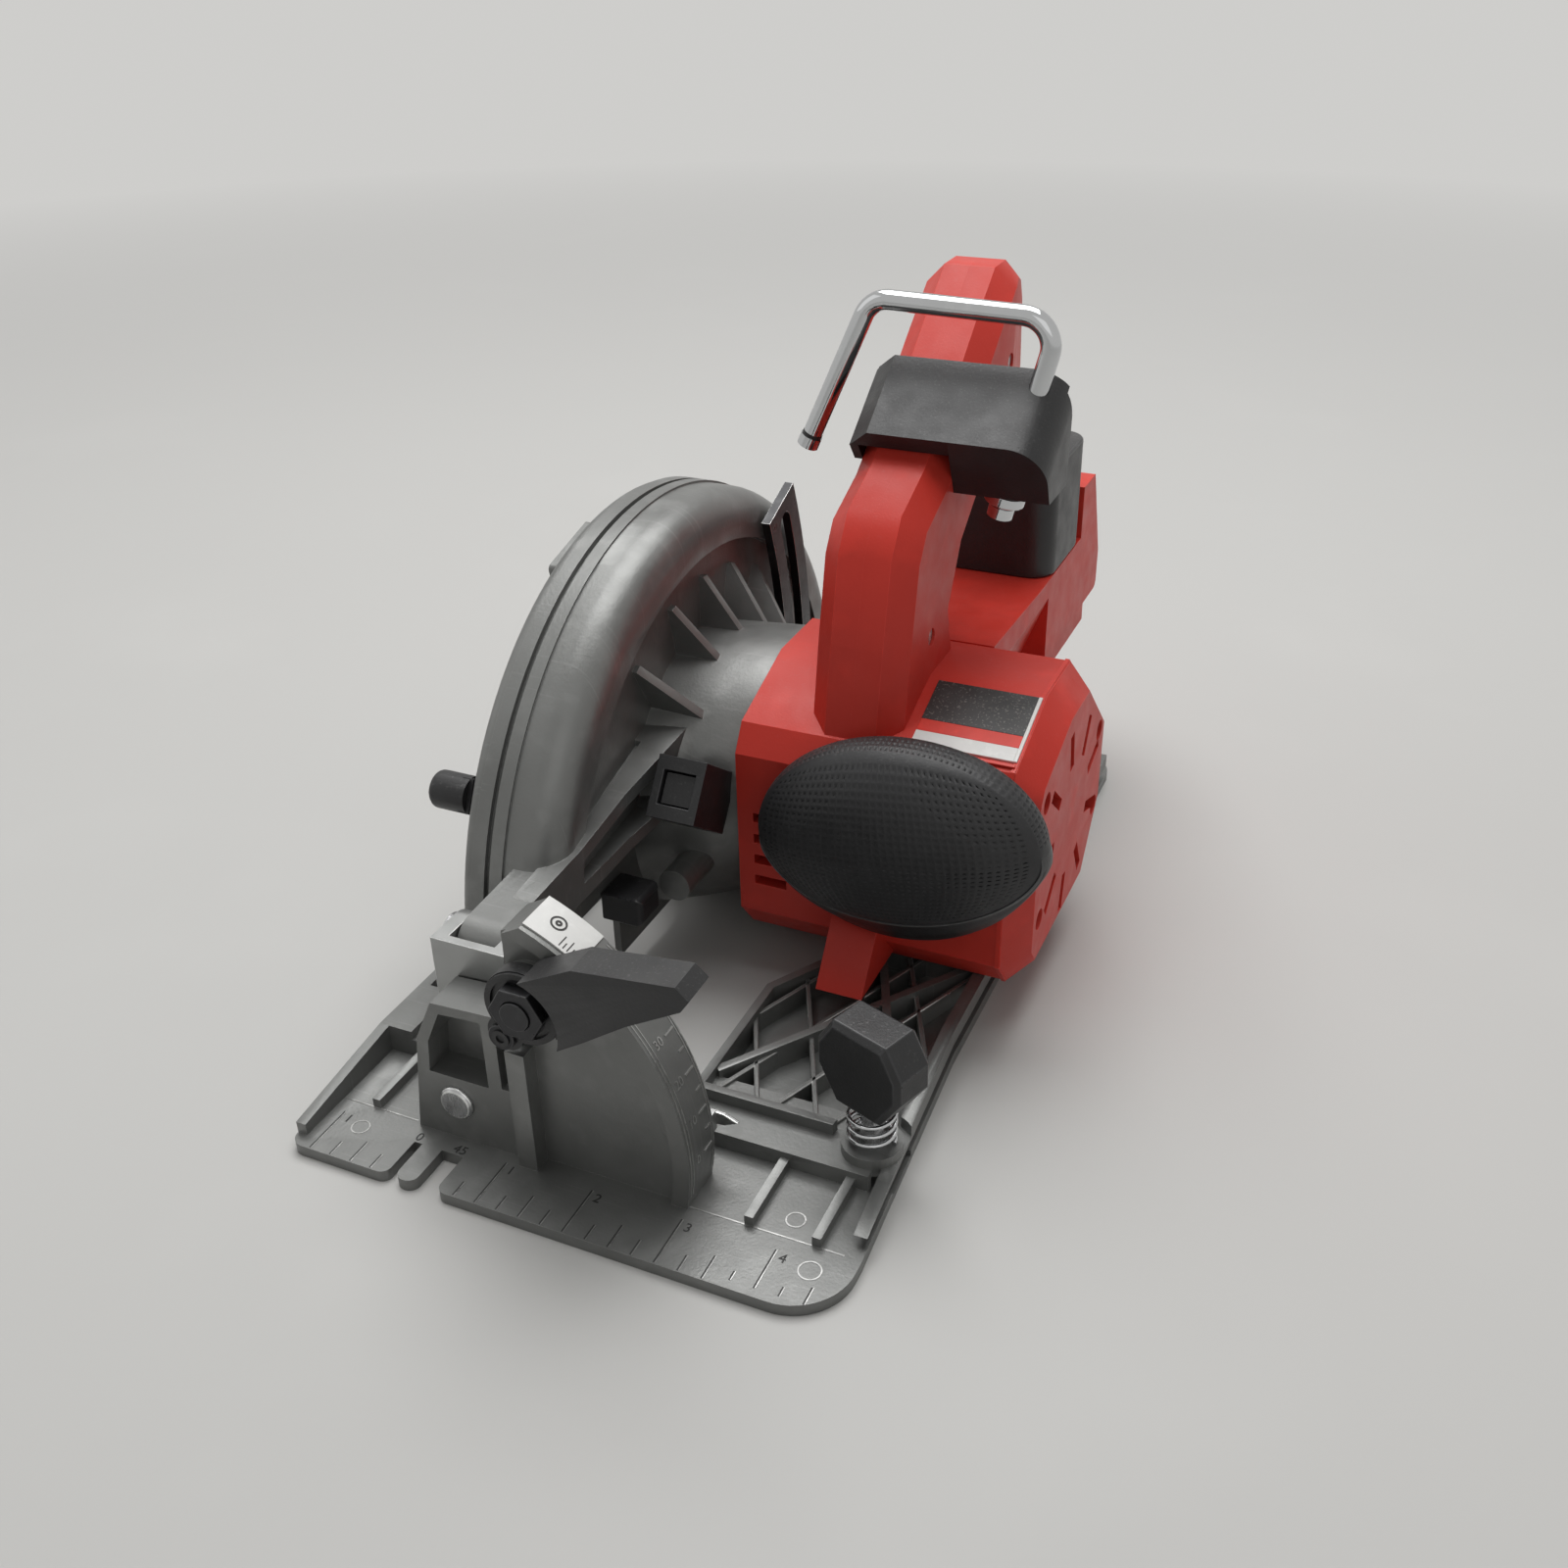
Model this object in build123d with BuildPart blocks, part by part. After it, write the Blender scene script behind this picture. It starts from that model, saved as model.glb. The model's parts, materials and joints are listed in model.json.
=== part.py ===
from build123d import *
from math import cos, pi, radians, sin, sqrt
import os

# Frame: x = 0 in the plane of cut with +x to the motor side, -y to the front, z = 0 on the sole.

# Fits and clearances
RUN = 0.05          # radial gap of a running shaft
SLIDE = 0.4         # gap between pieces that move past each other
SEAT = 0.2          # gap of a piece that sits in a pocket

# Shoe
SHOE_LEFT = -32.0
SHOE_RIGHT = 122.0
SHOE_RIGHT_REAR = 117.5     # the motor side tapers in behind the front band
SHOE_CORNER_LEFT = 4.0
SHOE_CORNER_RIGHT = 16.0
SHOE_CORNER_REAR = 10.0
FRONT_BAND = 19.0           # shoe in front of the bevel tower
REAR_GAP = 17.0             # shoe behind the guard
REAR_BAND = 13.0
PLATE_T = 3.5
LIP_T = 3.0
LIP_H = 12.0
LIP_FRONT_H = 6.5
RIM_T = 3.6
RIM_FRONT_H = 5.0
RIB_T = 2.4
RIB_H = 6.5
INNER_H = 9.2               # blade side beside the opening, under the tilted guard
INNER_W = 4.5
BAND_RIBS = (91.0, 109.0)
FOOT_RIB_H = 11.0
OPEN_LEFT = -17.0
OPEN_RIGHT = 60.0
OPEN_RIGHT_REAR = 80.0
OPEN_SETBACK = 8.0          # opening behind the bevel tower
OPEN_BEND = 70.0
OPEN_BEND_REAR = 104.0
TERRACE_SETBACK = 3.0
TERRACE_H = 8.5             # step over the rip-fence bar
TERRACE_D = 20.0
FOOT_STEP = 10.5            # foot behind the front of the terrace
BAR_SLOT_W = 16.0
BAR_SLOT_H = 4.5
BAR_FLOOR_T = 1.8
NOTCH_DEPTH = 13.0
NOTCH_W = 2.4
NOTCH45_X = 10.6
NOTCH45_W = 6.6

# Rip-fence knob
KNOB_X = 112.0
KNOB_BOSS_R = 8.0
KNOB_BOSS_H = 3.0
KNOB_CLEARING = 3.0
KNOB_SCREW_R = 3.0
KNOB_GAP = 12.0             # room for the spring
KNOB_LONG = 27.0
KNOB_CROWN = 17.0
KNOB_FOOT = 14.0
KNOB_H = 25.0
KNOB_T = 13.0
KNOB_CHAMFER = 1.5
KNOB_TURN = -20.0
SPRING_WIRE = 1.0
SPRING_R = 6.0
SPRING_QUARTERS = 8
SPRING_LEAD = 2.6

# Bevel tower and quadrant
BEVEL_X = 10.0
BEVEL_Z = 16.0
BEVEL_RANGE = 50.0
BEVEL_PIN_R = 5.0
TOWER_T = 12.0
TOWER_LEFT = -4.0
TOWER_RIGHT = 24.5
TOWER_SHOULDER = 34.0
TOWER_TOP = 47.0
POCKET_D = 9.0
POCKET_FLOOR = 24.0
SLIT_FLOOR = 25.0
QUAD_R = 67.0
QUAD_LEFT = 29.0
QUAD_STEP = 2.0
QUAD_RIM = 4.5
QUAD_WEB_T = 12.0
QUAD_POST_W = 5.5
QUAD_POST_PROUD = 3.0
QUAD_POST_TOP = 41.0
QUAD_CUT_LOW = 73.5
QUAD_CUT_HIGH = 78.0
LOCK_R = 50.0               # lock bolt, from the bevel axis
LOCK_ANGLE = 57.0
LOCK_BOLT_R = 4.0
LOCK_HEAD_R = 8.0
LOCK_HUB_R = 10.5
HUB_T = 4.0                 # lever's hub plate and the nut on it
NUT_T = 3.5
SHOULDER_R = 13.5           # room for the nut's wrench in the lever
LEVER_BACK = 3.4            # lever grip behind and along the hub's front face
LEVER_W = 10.0
REAR_EAR_T = 8.0
REAR_EAR_W = 24.0
REAR_EAR_TOP = 28.0

# Tilt frame
TILT_T = 8.0
SECTOR_T = 3.5
SECTOR_R = 57.0
FRONT_GAP = 16.0            # depth pivot in front of the guard
PIVOT_SETBACK = 12.0        # depth pivot behind the tower
DEPTH_Z = 50.0
DEPTH_RANGE = 30.0
DEPTH_PIN_R = 4.0
CLEVIS_W = 22.0
CLEVIS_CHEEK = 4.2
ARM_EYE_R = 8.0
STRIP_GAP = 2.0             # depth plate behind the gear neck
STRIP_W = 20.0
STRIP_T = 3.0
STRIP_X = 17.2
STRIP_BOLT_R = 3.2
STRIP_BOLT_ANGLE = -11.0
STRIP_END = 2.6             # strip past each end of the bolt's travel, in degrees

# Blade space and guards
AXIS_Y = 131.0              # spindle axis
AXIS_Z = 27.0
GUARD_R = 102.0
GUARD_WALL = 3.3
GUARD_LEFT = -13.0
GUARD_RIGHT = 16.0
GUARD_SIDE_T = 2.2
GUARD_IN = 10.3             # half width of the blade space
GUARD_EDGE_Z = 34.0
GUARD_ROUND = 10.0          # motor-side edge of the rim
RIM_BAND = 0.7              # raised band with the groove in its middle
FIN_ANGLES = (60, 74, 88, 103, 121)
FIN_T = 2.6
FIN_TOP_R = 79.0
FIN_FOOT_R = 57.0
FIN_FOOT_X = 31.0
GUARD_RING_R = 72.0
WALL_EDGE_Z = 12.0
SHELL_T = 1.8
SHELL_START = -13.0         # lower guard swung open, 0 at the rear and 90 on top
SHELL_END = 165.0
SHELL_RING_R = 60.0
SNOUT_R = 21.0
SNOUT_END = 3.8
HUB_R = 25.0
LEVER_ANGLE = 153.0
LEVER_X = -17.2
LEVER_KNOB_R = 91.0

# Gear train
MODULE = 1.0
PINION_TEETH = 10
GEAR_TEETH = 36
MOTOR_Y = AXIS_Y
MOTOR_Z = AXIS_Z + MODULE * (PINION_TEETH + GEAR_TEETH) / 2
TOOTH_TIP = 0.8
TOOTH_ROOT = 1.1
GEAR_X = 22.0
GEAR_W = 12.0
SPINDLE_R = 8.0
SPINDLE_TAIL_R = 5.0
BLADE_GAP = 1.8
FLANGE_R = 19.0
FLANGE_IN_T = 2.5
FLANGE_OUT_T = 3.5
BOLT_R = 5.0
BOLT_AF = 13.0
BEARING_R = 16.0
BEARING_W = 10.0
SMALL_BEARING_R = 11.0
TAIL_BEARING_R = 9.5
SMALL_BEARING_W = 5.0
CASE_END = 44.0             # joint face of gear case and motor housing
COVER_R = 30.0
NECK_R = 46.0
NECK_END_R = 40.0
CASE_BOSS_R = 24.0

# Motor
HOUSE_FRONT = 89.0
HOUSE_REAR = 172.0
HOUSE_BOTTOM = 12.5
HOUSE_TOP = 92.5
HOUSE_END = 131.0
HOUSE_CHAMFER = 7.0
HOUSE_BORE = 34.0
BORE_END = 118.0
SCREW_HEAD_R = 3.2
LABEL_T = 0.8
LABEL_W = 25.0
SHAFT_R = 4.0
CORE_R = 20.5
CORE_X = 62.0
CORE_L = 48.0
AIR_GAP = 0.6
FAN_R = 31.5
FAN_X = 50.0
FAN_W = 8.0
END_BEARING_W = 7.0

# Handle
HANDLE_X = 76.5
HANDLE_W = 27.0
HANDLE_WALL = 3.0
HANDLE_CHAMFER = 6.0
POST_FOOT_REAR = 146.0
GRIP_REAR = 225.0
TAPER_START = 184.0         # plan taper of the grip's rear
TAPER_END_W = 10.0
TAPER_RISE = 6.0
FOOT_X = 78.0               # middle of the rear block, battery foot and rails
BLOCK_FRONT = 203.0         # rear block under the grip
BLOCK_REAR = 243.0
BLOCK_W = 46.0
BLOCK_TOP = 127.0
BLOCK_ROUND = 8.0
BLOCK_WALL = 4.0
BOARD_ROOM = 3.0
FOOT_TOP = 90.0
FOOT_BOTTOM = 62.0
FOOT_REAR = 270.0
FOOT_W = 46.0
SLAB_TOP = 108.0
SLAB_T = 14.0
SLAB_SLOPE = 14.0
NECK_FRONT = 166.0
NECK_DROP = 10.0
NECK_SHOULDER = 84.0        # flanks slope in under this height
NECK_IN = 13.0
TERMINAL_W = 24.0
RAIL_W = 38.0
RAIL_H = 14.0
RAIL_GROOVE = 6.0
RAIL_GROOVE_D = 5.0
RAIL_FRONT = 206.0
POMMEL_X = 96.0
POMMEL_Z = 62.3
POMMEL_A = 42.0
POMMEL_B = 30.0
POMMEL_TURN = 8.0
POMMEL_FRONT = 68.0
POMMEL_BACK = 93.0
POMMEL_ROUND = 9.0
TRIGGER_W = 12.0
TRIGGER_TRAVEL = 6.0
TRIGGER_OUT = 10.0
TRIGGER_IN = 8.0
BUTTON_R = 5.0
BUTTON_Y = 133.0
BUTTON_Z = 126.0
BUTTON_PROUD = 4.0
BUTTON_L = 23.5
HOOK_R = 2.8
HOOK_BEND = 8.0
HOOK_Y = 148.0
CLAMP_T = 6.0
CLAMP_LEFT = 60.5
CLAMP_RIGHT = 117.0
CLAMP_ROUND = 11.0
CLAMP_FLANK = 6.5
LOCK_AIM = 144.0            # spindle-lock button, round the spindle axis
LOCK_X = 33.0
LOCK_W = 15.0
LOCK_H = 18.0
LOCK_SEAT_R = 49.0
LOCK_FACE_R = 71.0
LOCK_KEY = 9.0
LOCK_RECESS = 1.5
LOCK_TRAVEL = 4.0
LOCK_PIN_R = 2.5

AXIS = (AXIS_Y, AXIS_Z)
MOTOR = (MOTOR_Y, MOTOR_Z)
DEPTH_Y = AXIS_Y - GUARD_R - FRONT_GAP
DEPTH = (DEPTH_Y, DEPTH_Z)
BEVEL = (BEVEL_X, BEVEL_Z)
TOWER_REAR = DEPTH_Y - PIVOT_SETBACK
TOWER_FRONT = TOWER_REAR - TOWER_T
QUAD_REAR = TOWER_REAR + QUAD_STEP
SHOE_FRONT = TOWER_FRONT - FRONT_BAND
SHOE_REAR = AXIS_Y + GUARD_R + REAR_GAP
BAND_Y = TOWER_FRONT + 1.0          # rear end of the flat front band
OPEN_FRONT = TOWER_REAR + OPEN_SETBACK
OPEN_REAR = SHOE_REAR - REAR_BAND
TERRACE_FRONT = OPEN_FRONT + TERRACE_SETBACK
STRIP_R = AXIS_Y - DEPTH_Y + NECK_R + STRIP_W / 2 + STRIP_GAP
LOW = (Align.MIN, Align.MIN, Align.MIN)
GUARD_SPACE_R = GUARD_R - GUARD_WALL
SHELL_R = GUARD_SPACE_R - SLIDE - 0.3
SHELL_HALF = GUARD_IN - SLIDE
HANDLE_LEFT = HANDLE_X - HANDLE_W / 2
HANDLE_RIGHT = HANDLE_X + HANDLE_W / 2


# Helpers
def side(x):
    """Plane across the saw at x, with y and z as its own axes."""
    return Plane(origin=(x, 0, 0), x_dir=(0, 1, 0), z_dir=(1, 0, 0))


def front(y):
    """Plane facing the front at y, with x and z as its own axes."""
    return Plane(origin=(0, y, 0), x_dir=(1, 0, 0), z_dir=(0, -1, 0))


def polar(radius, angle, centre=(0, 0)):
    """Point at a radius and an angle in degrees round a centre."""
    return (centre[0] + radius * cos(radians(angle)), centre[1] + radius * sin(radians(angle)))


def block(x0, x1, y0, y1, z0, z1, mode=Mode.ADD):
    """Box between two corners."""
    with Locations((x0, y0, z0)):
        Box(x1 - x0, y1 - y0, z1 - z0, align=LOW, mode=mode)


def disc(x0, x1, radius, centre, mode=Mode.ADD):
    """Round slice across the saw, from x0 to x1."""
    with BuildSketch(side(x0)) as profile:
        with Locations(centre):
            Circle(radius)
    extrude(profile.sketch, amount=x1 - x0, mode=mode)


def stud(y0, y1, radius, centre, mode=Mode.ADD):
    """Round piece lying front to back, from y0 (front) to y1 (rear)."""
    with BuildSketch(front(y1)) as profile:
        with Locations(centre):
            Circle(radius)
    extrude(profile.sketch, amount=y1 - y0, mode=mode)


def post(z0, z1, radius, centre, mode=Mode.ADD):
    """Upright round piece, from z0 to z1."""
    with BuildSketch(Plane.XY.offset(z0)) as profile:
        with Locations(centre):
            Circle(radius)
    extrude(profile.sketch, amount=z1 - z0, mode=mode)


def plate(x0, x1, outline, mode=Mode.ADD):
    """Flat piece with an outline of (y, z) points, from x0 to x1."""
    with BuildSketch(side(x0)) as profile:
        with BuildLine():
            Polyline(*outline, close=True)
        make_face()
    extrude(profile.sketch, amount=x1 - x0, mode=mode)


def face_plate(y0, y1, outline, mode=Mode.ADD):
    """Flat piece with an outline of (x, z) points, from y0 (front) to y1 (rear)."""
    with BuildSketch(front(y1)) as profile:
        with BuildLine():
            Polyline(*outline, close=True)
        make_face()
    extrude(profile.sketch, amount=y1 - y0, mode=mode)


def rib(plane, start, end, width, height, mode=Mode.ADD):
    """Straight rib between two points of a plane."""
    along = (Vector(*end) - Vector(*start)).normalized()
    half = Vector(-along.Y, along.X) * (width / 2)
    corners = [Vector(*start) + half, Vector(*end) + half, Vector(*end) - half, Vector(*start) - half]
    with BuildSketch(plane) as profile:
        with BuildLine():
            Polyline(*[(c.X, c.Y) for c in corners], close=True)
        make_face()
    extrude(profile.sketch, amount=height, mode=mode)


def wedge(radius, start, end, centre, steps=12):
    """Outline of a circle sector that reaches just past the radius."""
    reach = radius * 1.3
    step = (end - start) / steps
    return [centre] + [polar(reach, start + i * step, centre) for i in range(steps + 1)]


def toothed(teeth, tip_r, root_r, first):
    """Outline of a gear: one straight-sided tooth after the other, from a first angle."""
    pitch = 360.0 / teeth
    points = []
    for i in range(teeth):
        middle = first + i * pitch
        points.append(polar(root_r, middle - 0.25 * pitch))
        points.append(polar(tip_r, middle - 0.12 * pitch))
        points.append(polar(tip_r, middle + 0.12 * pitch))
        points.append(polar(root_r, middle + 0.25 * pitch))
    return points


def shifted(points, centre):
    """Outline moved to a centre."""
    return [(a + centre[0], b + centre[1]) for a, b in points]


def biarc(start, start_dir, end, end_dir):
    """Two arcs that leave one point and reach another in the given directions."""
    chord = end - start
    total = start_dir + end_dir
    bend = 2 * (1 - start_dir.dot(end_dir))
    run = chord.dot(total)
    reach = (sqrt(run * run + bend * chord.dot(chord)) - run) / bend
    middle = (start + end) * 0.5 + (start_dir - end_dir) * (reach / 2)
    middle_dir = (chord - total * reach).normalized()
    first = TangentArc(start, middle, tangent=start_dir)
    second = TangentArc(middle, end, tangent=middle_dir)
    return [first, second]


def save(piece, name):
    """Label a finished piece and write it."""
    piece.part.label = name
    export_step(piece.part, "parts/" + name + ".step")


os.makedirs("parts", exist_ok=True)

# Shoe casting
LOCK_POINT = polar(LOCK_R, LOCK_ANGLE, BEVEL)
TERRACE_REAR = TERRACE_FRONT + TERRACE_D
FOOT_FRONT = TERRACE_FRONT + FOOT_STEP
BAR_ROOF = BAR_FLOOR_T + BAR_SLOT_H
BAR_SLOT_FRONT = TERRACE_FRONT + (TERRACE_D - BAR_SLOT_W) / 2
KNOB_Y = BAR_SLOT_FRONT + BAR_SLOT_W / 2
BOSS_TOP = TERRACE_H + KNOB_BOSS_H
RIM_IN = SHOE_RIGHT - RIM_T
RIM_IN_REAR = SHOE_RIGHT_REAR - RIM_T
FOOT_LEFT = OPEN_RIGHT + 1.0
FOOT_LEFT_REAR = OPEN_RIGHT_REAR + 1.0
LIP_REAR = SHOE_REAR - SHOE_CORNER_REAR - 2.0
CELL_ENDS = (TERRACE_REAR, OPEN_BEND_REAR, OPEN_BEND_REAR + 64.0, LIP_REAR)

with BuildPart() as shoe:
    with BuildSketch() as outline:
        with BuildLine():
            Polyline((SHOE_LEFT, SHOE_FRONT), (SHOE_RIGHT, SHOE_FRONT), (SHOE_RIGHT, BAND_Y),
                     (SHOE_RIGHT_REAR, OPEN_BEND), (SHOE_RIGHT_REAR, SHOE_REAR), (SHOE_LEFT, SHOE_REAR), close=True)
        make_face()
        fillet(outline.vertices().sort_by_distance((SHOE_RIGHT, SHOE_FRONT))[0], SHOE_CORNER_RIGHT)
        fillet(outline.vertices().sort_by_distance((SHOE_LEFT, SHOE_FRONT))[0], SHOE_CORNER_LEFT)
        fillet(outline.vertices().sort_by(Axis.Y)[-2:], SHOE_CORNER_REAR)
    extrude(amount=PLATE_T)
    # Lip on the blade side and rim on the motor side, both rising from the front
    block(SHOE_LEFT, SHOE_LEFT + LIP_T, SHOE_FRONT + SHOE_CORNER_LEFT, LIP_REAR, PLATE_T, LIP_H)
    with BuildSketch(Plane.XY.offset(PLATE_T)) as rim:
        with BuildLine():
            Polyline((RIM_IN, SHOE_FRONT + SHOE_CORNER_RIGHT), (SHOE_RIGHT, SHOE_FRONT + SHOE_CORNER_RIGHT),
                     (SHOE_RIGHT, BAND_Y), (SHOE_RIGHT_REAR, OPEN_BEND), (SHOE_RIGHT_REAR, LIP_REAR),
                     (RIM_IN_REAR, LIP_REAR), (RIM_IN_REAR, OPEN_BEND), (RIM_IN, BAND_Y), close=True)
        make_face()
    extrude(rim.sketch, amount=LIP_H - PLATE_T)
    plate(SHOE_LEFT - 1, OPEN_LEFT, [(SHOE_FRONT, LIP_FRONT_H), (TERRACE_FRONT, LIP_H), (SHOE_FRONT, LIP_H)],
          Mode.SUBTRACT)
    plate(RIM_IN_REAR, SHOE_RIGHT + 1,
          [(SHOE_FRONT, RIM_FRONT_H), (TERRACE_FRONT, TERRACE_H), (FOOT_FRONT, TERRACE_H), (FOOT_FRONT, LIP_H + 1),
           (SHOE_FRONT, LIP_H + 1)], Mode.SUBTRACT)
    # Opening for the guards
    with BuildSketch() as opening:
        with BuildLine():
            Polyline((OPEN_LEFT, OPEN_FRONT), (OPEN_RIGHT, OPEN_FRONT), (OPEN_RIGHT, OPEN_BEND),
                     (OPEN_RIGHT_REAR, OPEN_BEND_REAR), (OPEN_RIGHT_REAR, OPEN_REAR),
                     (OPEN_LEFT, OPEN_REAR), close=True)
        make_face()
        fillet(opening.vertices(), 4)
    extrude(amount=PLATE_T, mode=Mode.SUBTRACT)
    # Rib beside the opening on the blade side
    block(OPEN_LEFT - RIB_T, OPEN_LEFT, BAND_Y, TERRACE_FRONT, PLATE_T, RIB_H)
    block(OPEN_LEFT - RIB_T, OPEN_LEFT, TERRACE_REAR, LIP_REAR, PLATE_T, INNER_H)
    # Lip along the opening on the motor side
    with BuildSketch(Plane.XY.offset(PLATE_T)) as lip:
        with BuildLine():
            Polyline((FOOT_LEFT, FOOT_FRONT), (FOOT_LEFT, OPEN_BEND), (FOOT_LEFT_REAR, OPEN_BEND_REAR),
                     (FOOT_LEFT_REAR, LIP_REAR), (FOOT_LEFT_REAR + RIB_T, LIP_REAR),
                     (FOOT_LEFT_REAR + RIB_T, OPEN_BEND_REAR - 1), (FOOT_LEFT + RIB_T, OPEN_BEND - 1),
                     (FOOT_LEFT + RIB_T, FOOT_FRONT), close=True)
        make_face()
    extrude(lip.sketch, amount=LIP_H - PLATE_T)
    # Terrace over the rip-fence bar, front wall of the foot, ribs of the front band
    block(FOOT_LEFT, RIM_IN_REAR + 1, TERRACE_FRONT, TERRACE_REAR, PLATE_T, TERRACE_H)
    block(SHOE_LEFT, OPEN_LEFT - INNER_W, TERRACE_FRONT, TERRACE_REAR, PLATE_T, LIP_H)
    block(OPEN_LEFT - INNER_W, OPEN_LEFT, TERRACE_FRONT, TERRACE_REAR, PLATE_T, INNER_H)
    block(FOOT_LEFT, RIM_IN_REAR + 1, FOOT_FRONT, FOOT_FRONT + RIB_T, TERRACE_H, LIP_H)
    for x in BAND_RIBS:
        block(x, x + RIB_T, BAND_Y, TERRACE_FRONT, PLATE_T, RIB_H)
    # Crossed ribs of the foot
    for y0, y1 in zip(CELL_ENDS, CELL_ENDS[1:]):
        left_front = FOOT_LEFT if y0 < OPEN_BEND else FOOT_LEFT_REAR
        for x0, x1 in ((left_front + RIB_T, RIM_IN_REAR), (RIM_IN_REAR, FOOT_LEFT_REAR + RIB_T)):
            rib(Plane.XY.offset(PLATE_T), (x0, y0), (x1, y1), RIB_T, FOOT_RIB_H - PLATE_T)
        block(FOOT_LEFT_REAR, RIM_IN_REAR + 1, y1 - RIB_T, y1, PLATE_T, FOOT_RIB_H)
    # Bar slot, and the boss for the knob in a round clearing
    block(SHOE_LEFT - 1, SHOE_RIGHT + 1, BAR_SLOT_FRONT, BAR_SLOT_FRONT + BAR_SLOT_W, BAR_FLOOR_T, BAR_ROOF,
          Mode.SUBTRACT)
    post(TERRACE_H, LIP_H + 1, KNOB_BOSS_R + KNOB_CLEARING, (KNOB_X, KNOB_Y), Mode.SUBTRACT)
    post(BAR_ROOF, BOSS_TOP, KNOB_BOSS_R, (KNOB_X, KNOB_Y))
    post(BAR_ROOF, BOSS_TOP, KNOB_SCREW_R + RUN, (KNOB_X, KNOB_Y), Mode.SUBTRACT)
    # Sight notches at the front edge
    block(-NOTCH_W / 2, NOTCH_W / 2, SHOE_FRONT, SHOE_FRONT + NOTCH_DEPTH, 0, PLATE_T, Mode.SUBTRACT)
    block(NOTCH45_X - NOTCH45_W / 2, NOTCH45_X + NOTCH45_W / 2, SHOE_FRONT, SHOE_FRONT + NOTCH_DEPTH, 0,
          PLATE_T, Mode.SUBTRACT)
    # Bevel tower with a deep pocket in its front, joined to the quadrant below the slit
    face_plate(TOWER_FRONT, TOWER_REAR,
               [(TOWER_LEFT, 1), (TOWER_RIGHT, 1), (TOWER_RIGHT, TOWER_TOP + 1), (TOWER_LEFT + 10, TOWER_TOP),
                (TOWER_LEFT + 4, TOWER_SHOULDER)])
    face_plate(TOWER_FRONT, TOWER_FRONT + POCKET_D,
               [(TOWER_LEFT + 6.5, POCKET_FLOOR), (TOWER_RIGHT - 4, POCKET_FLOOR), (TOWER_RIGHT - 4, TOWER_TOP - 2),
                (TOWER_LEFT + 12, TOWER_TOP - 3), (TOWER_LEFT + 7.5, TOWER_SHOULDER)], Mode.SUBTRACT)
    block(TOWER_RIGHT - 1, QUAD_LEFT + 1, TOWER_FRONT, TOWER_REAR, 1, SLIT_FLOOR)
    stud(TOWER_FRONT, TOWER_REAR, BEVEL_PIN_R, BEVEL, Mode.SUBTRACT)
    # Scale quadrant: rim, web, upright rib and the cut-off top corner
    with BuildSketch(front(QUAD_REAR)) as rim:
        with Locations(BEVEL):
            Circle(QUAD_R)
            Circle(QUAD_R - QUAD_RIM, mode=Mode.SUBTRACT)
        with Locations((QUAD_LEFT, 1)):
            Rectangle(QUAD_R, QUAD_R + BEVEL_Z, align=(Align.MIN, Align.MIN), mode=Mode.INTERSECT)
    extrude(rim.sketch, amount=QUAD_REAR - TOWER_FRONT)
    with BuildSketch(front(QUAD_REAR)) as web:
        with Locations(BEVEL):
            Circle(QUAD_R - 1)
        with Locations((QUAD_LEFT, 1)):
            Rectangle(QUAD_R, QUAD_R + BEVEL_Z, align=(Align.MIN, Align.MIN), mode=Mode.INTERSECT)
    extrude(web.sketch, amount=QUAD_WEB_T)
    block(QUAD_LEFT, QUAD_LEFT + QUAD_POST_W, TOWER_FRONT - QUAD_POST_PROUD, QUAD_REAR, 1, QUAD_POST_TOP)
    fillet(shoe.edges().filter_by(Axis.Z).group_by(Axis.Y)[0], QUAD_POST_PROUD - 0.2)
    face_plate(TOWER_FRONT - 1, QUAD_REAR,
               [(QUAD_LEFT - 1, QUAD_CUT_LOW), (QUAD_LEFT + 7, QUAD_CUT_HIGH), (QUAD_LEFT + 7, QUAD_R * 2),
                (QUAD_LEFT - 1, QUAD_R * 2)], Mode.SUBTRACT)
    stud(TOWER_FRONT, QUAD_REAR, LOCK_HUB_R - 1, LOCK_POINT)
    stud(TOWER_FRONT, QUAD_REAR, LOCK_BOLT_R, LOCK_POINT, Mode.SUBTRACT)
    # Rear bevel ear
    with BuildSketch(front(SHOE_REAR - 4)) as ear:
        with Locations((BEVEL_X, BEVEL_Z)):
            Circle(REAR_EAR_TOP - BEVEL_Z)
        with Locations((BEVEL_X, 1)):
            Rectangle(REAR_EAR_W, BEVEL_Z - 1, align=(Align.CENTER, Align.MIN))
    extrude(ear.sketch, amount=REAR_EAR_T)
    stud(SHOE_REAR - 4 - REAR_EAR_T, SHOE_REAR - 4, BEVEL_PIN_R, BEVEL, Mode.SUBTRACT)
save(shoe, "shoe")

# Bevel pins and the lock bolt, fixed in the shoe
TILT_FRONT = TOWER_REAR + SLIDE
TILT_REAR = TILT_FRONT + TILT_T
SECTOR_FRONT = QUAD_REAR + SLIDE
SECTOR_REAR = SECTOR_FRONT + SECTOR_T
EAR_REAR = SHOE_REAR - 4 - REAR_EAR_T - SLIDE
EAR_FRONT = EAR_REAR - 5.5

with BuildPart() as bevel_pin_front:
    stud(TOWER_FRONT - 1.5, TILT_REAR, BEVEL_PIN_R, BEVEL)
    chamfer(bevel_pin_front.edges().group_by(Axis.Y)[0], 0.8)
save(bevel_pin_front, "bevel_pin_front")

with BuildPart() as bevel_pin_rear:
    stud(EAR_FRONT, SHOE_REAR - 4, BEVEL_PIN_R, BEVEL)
    stud(SHOE_REAR - 4, SHOE_REAR - 1, BEVEL_PIN_R + 3, BEVEL)
save(bevel_pin_rear, "bevel_pin_rear")

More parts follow.
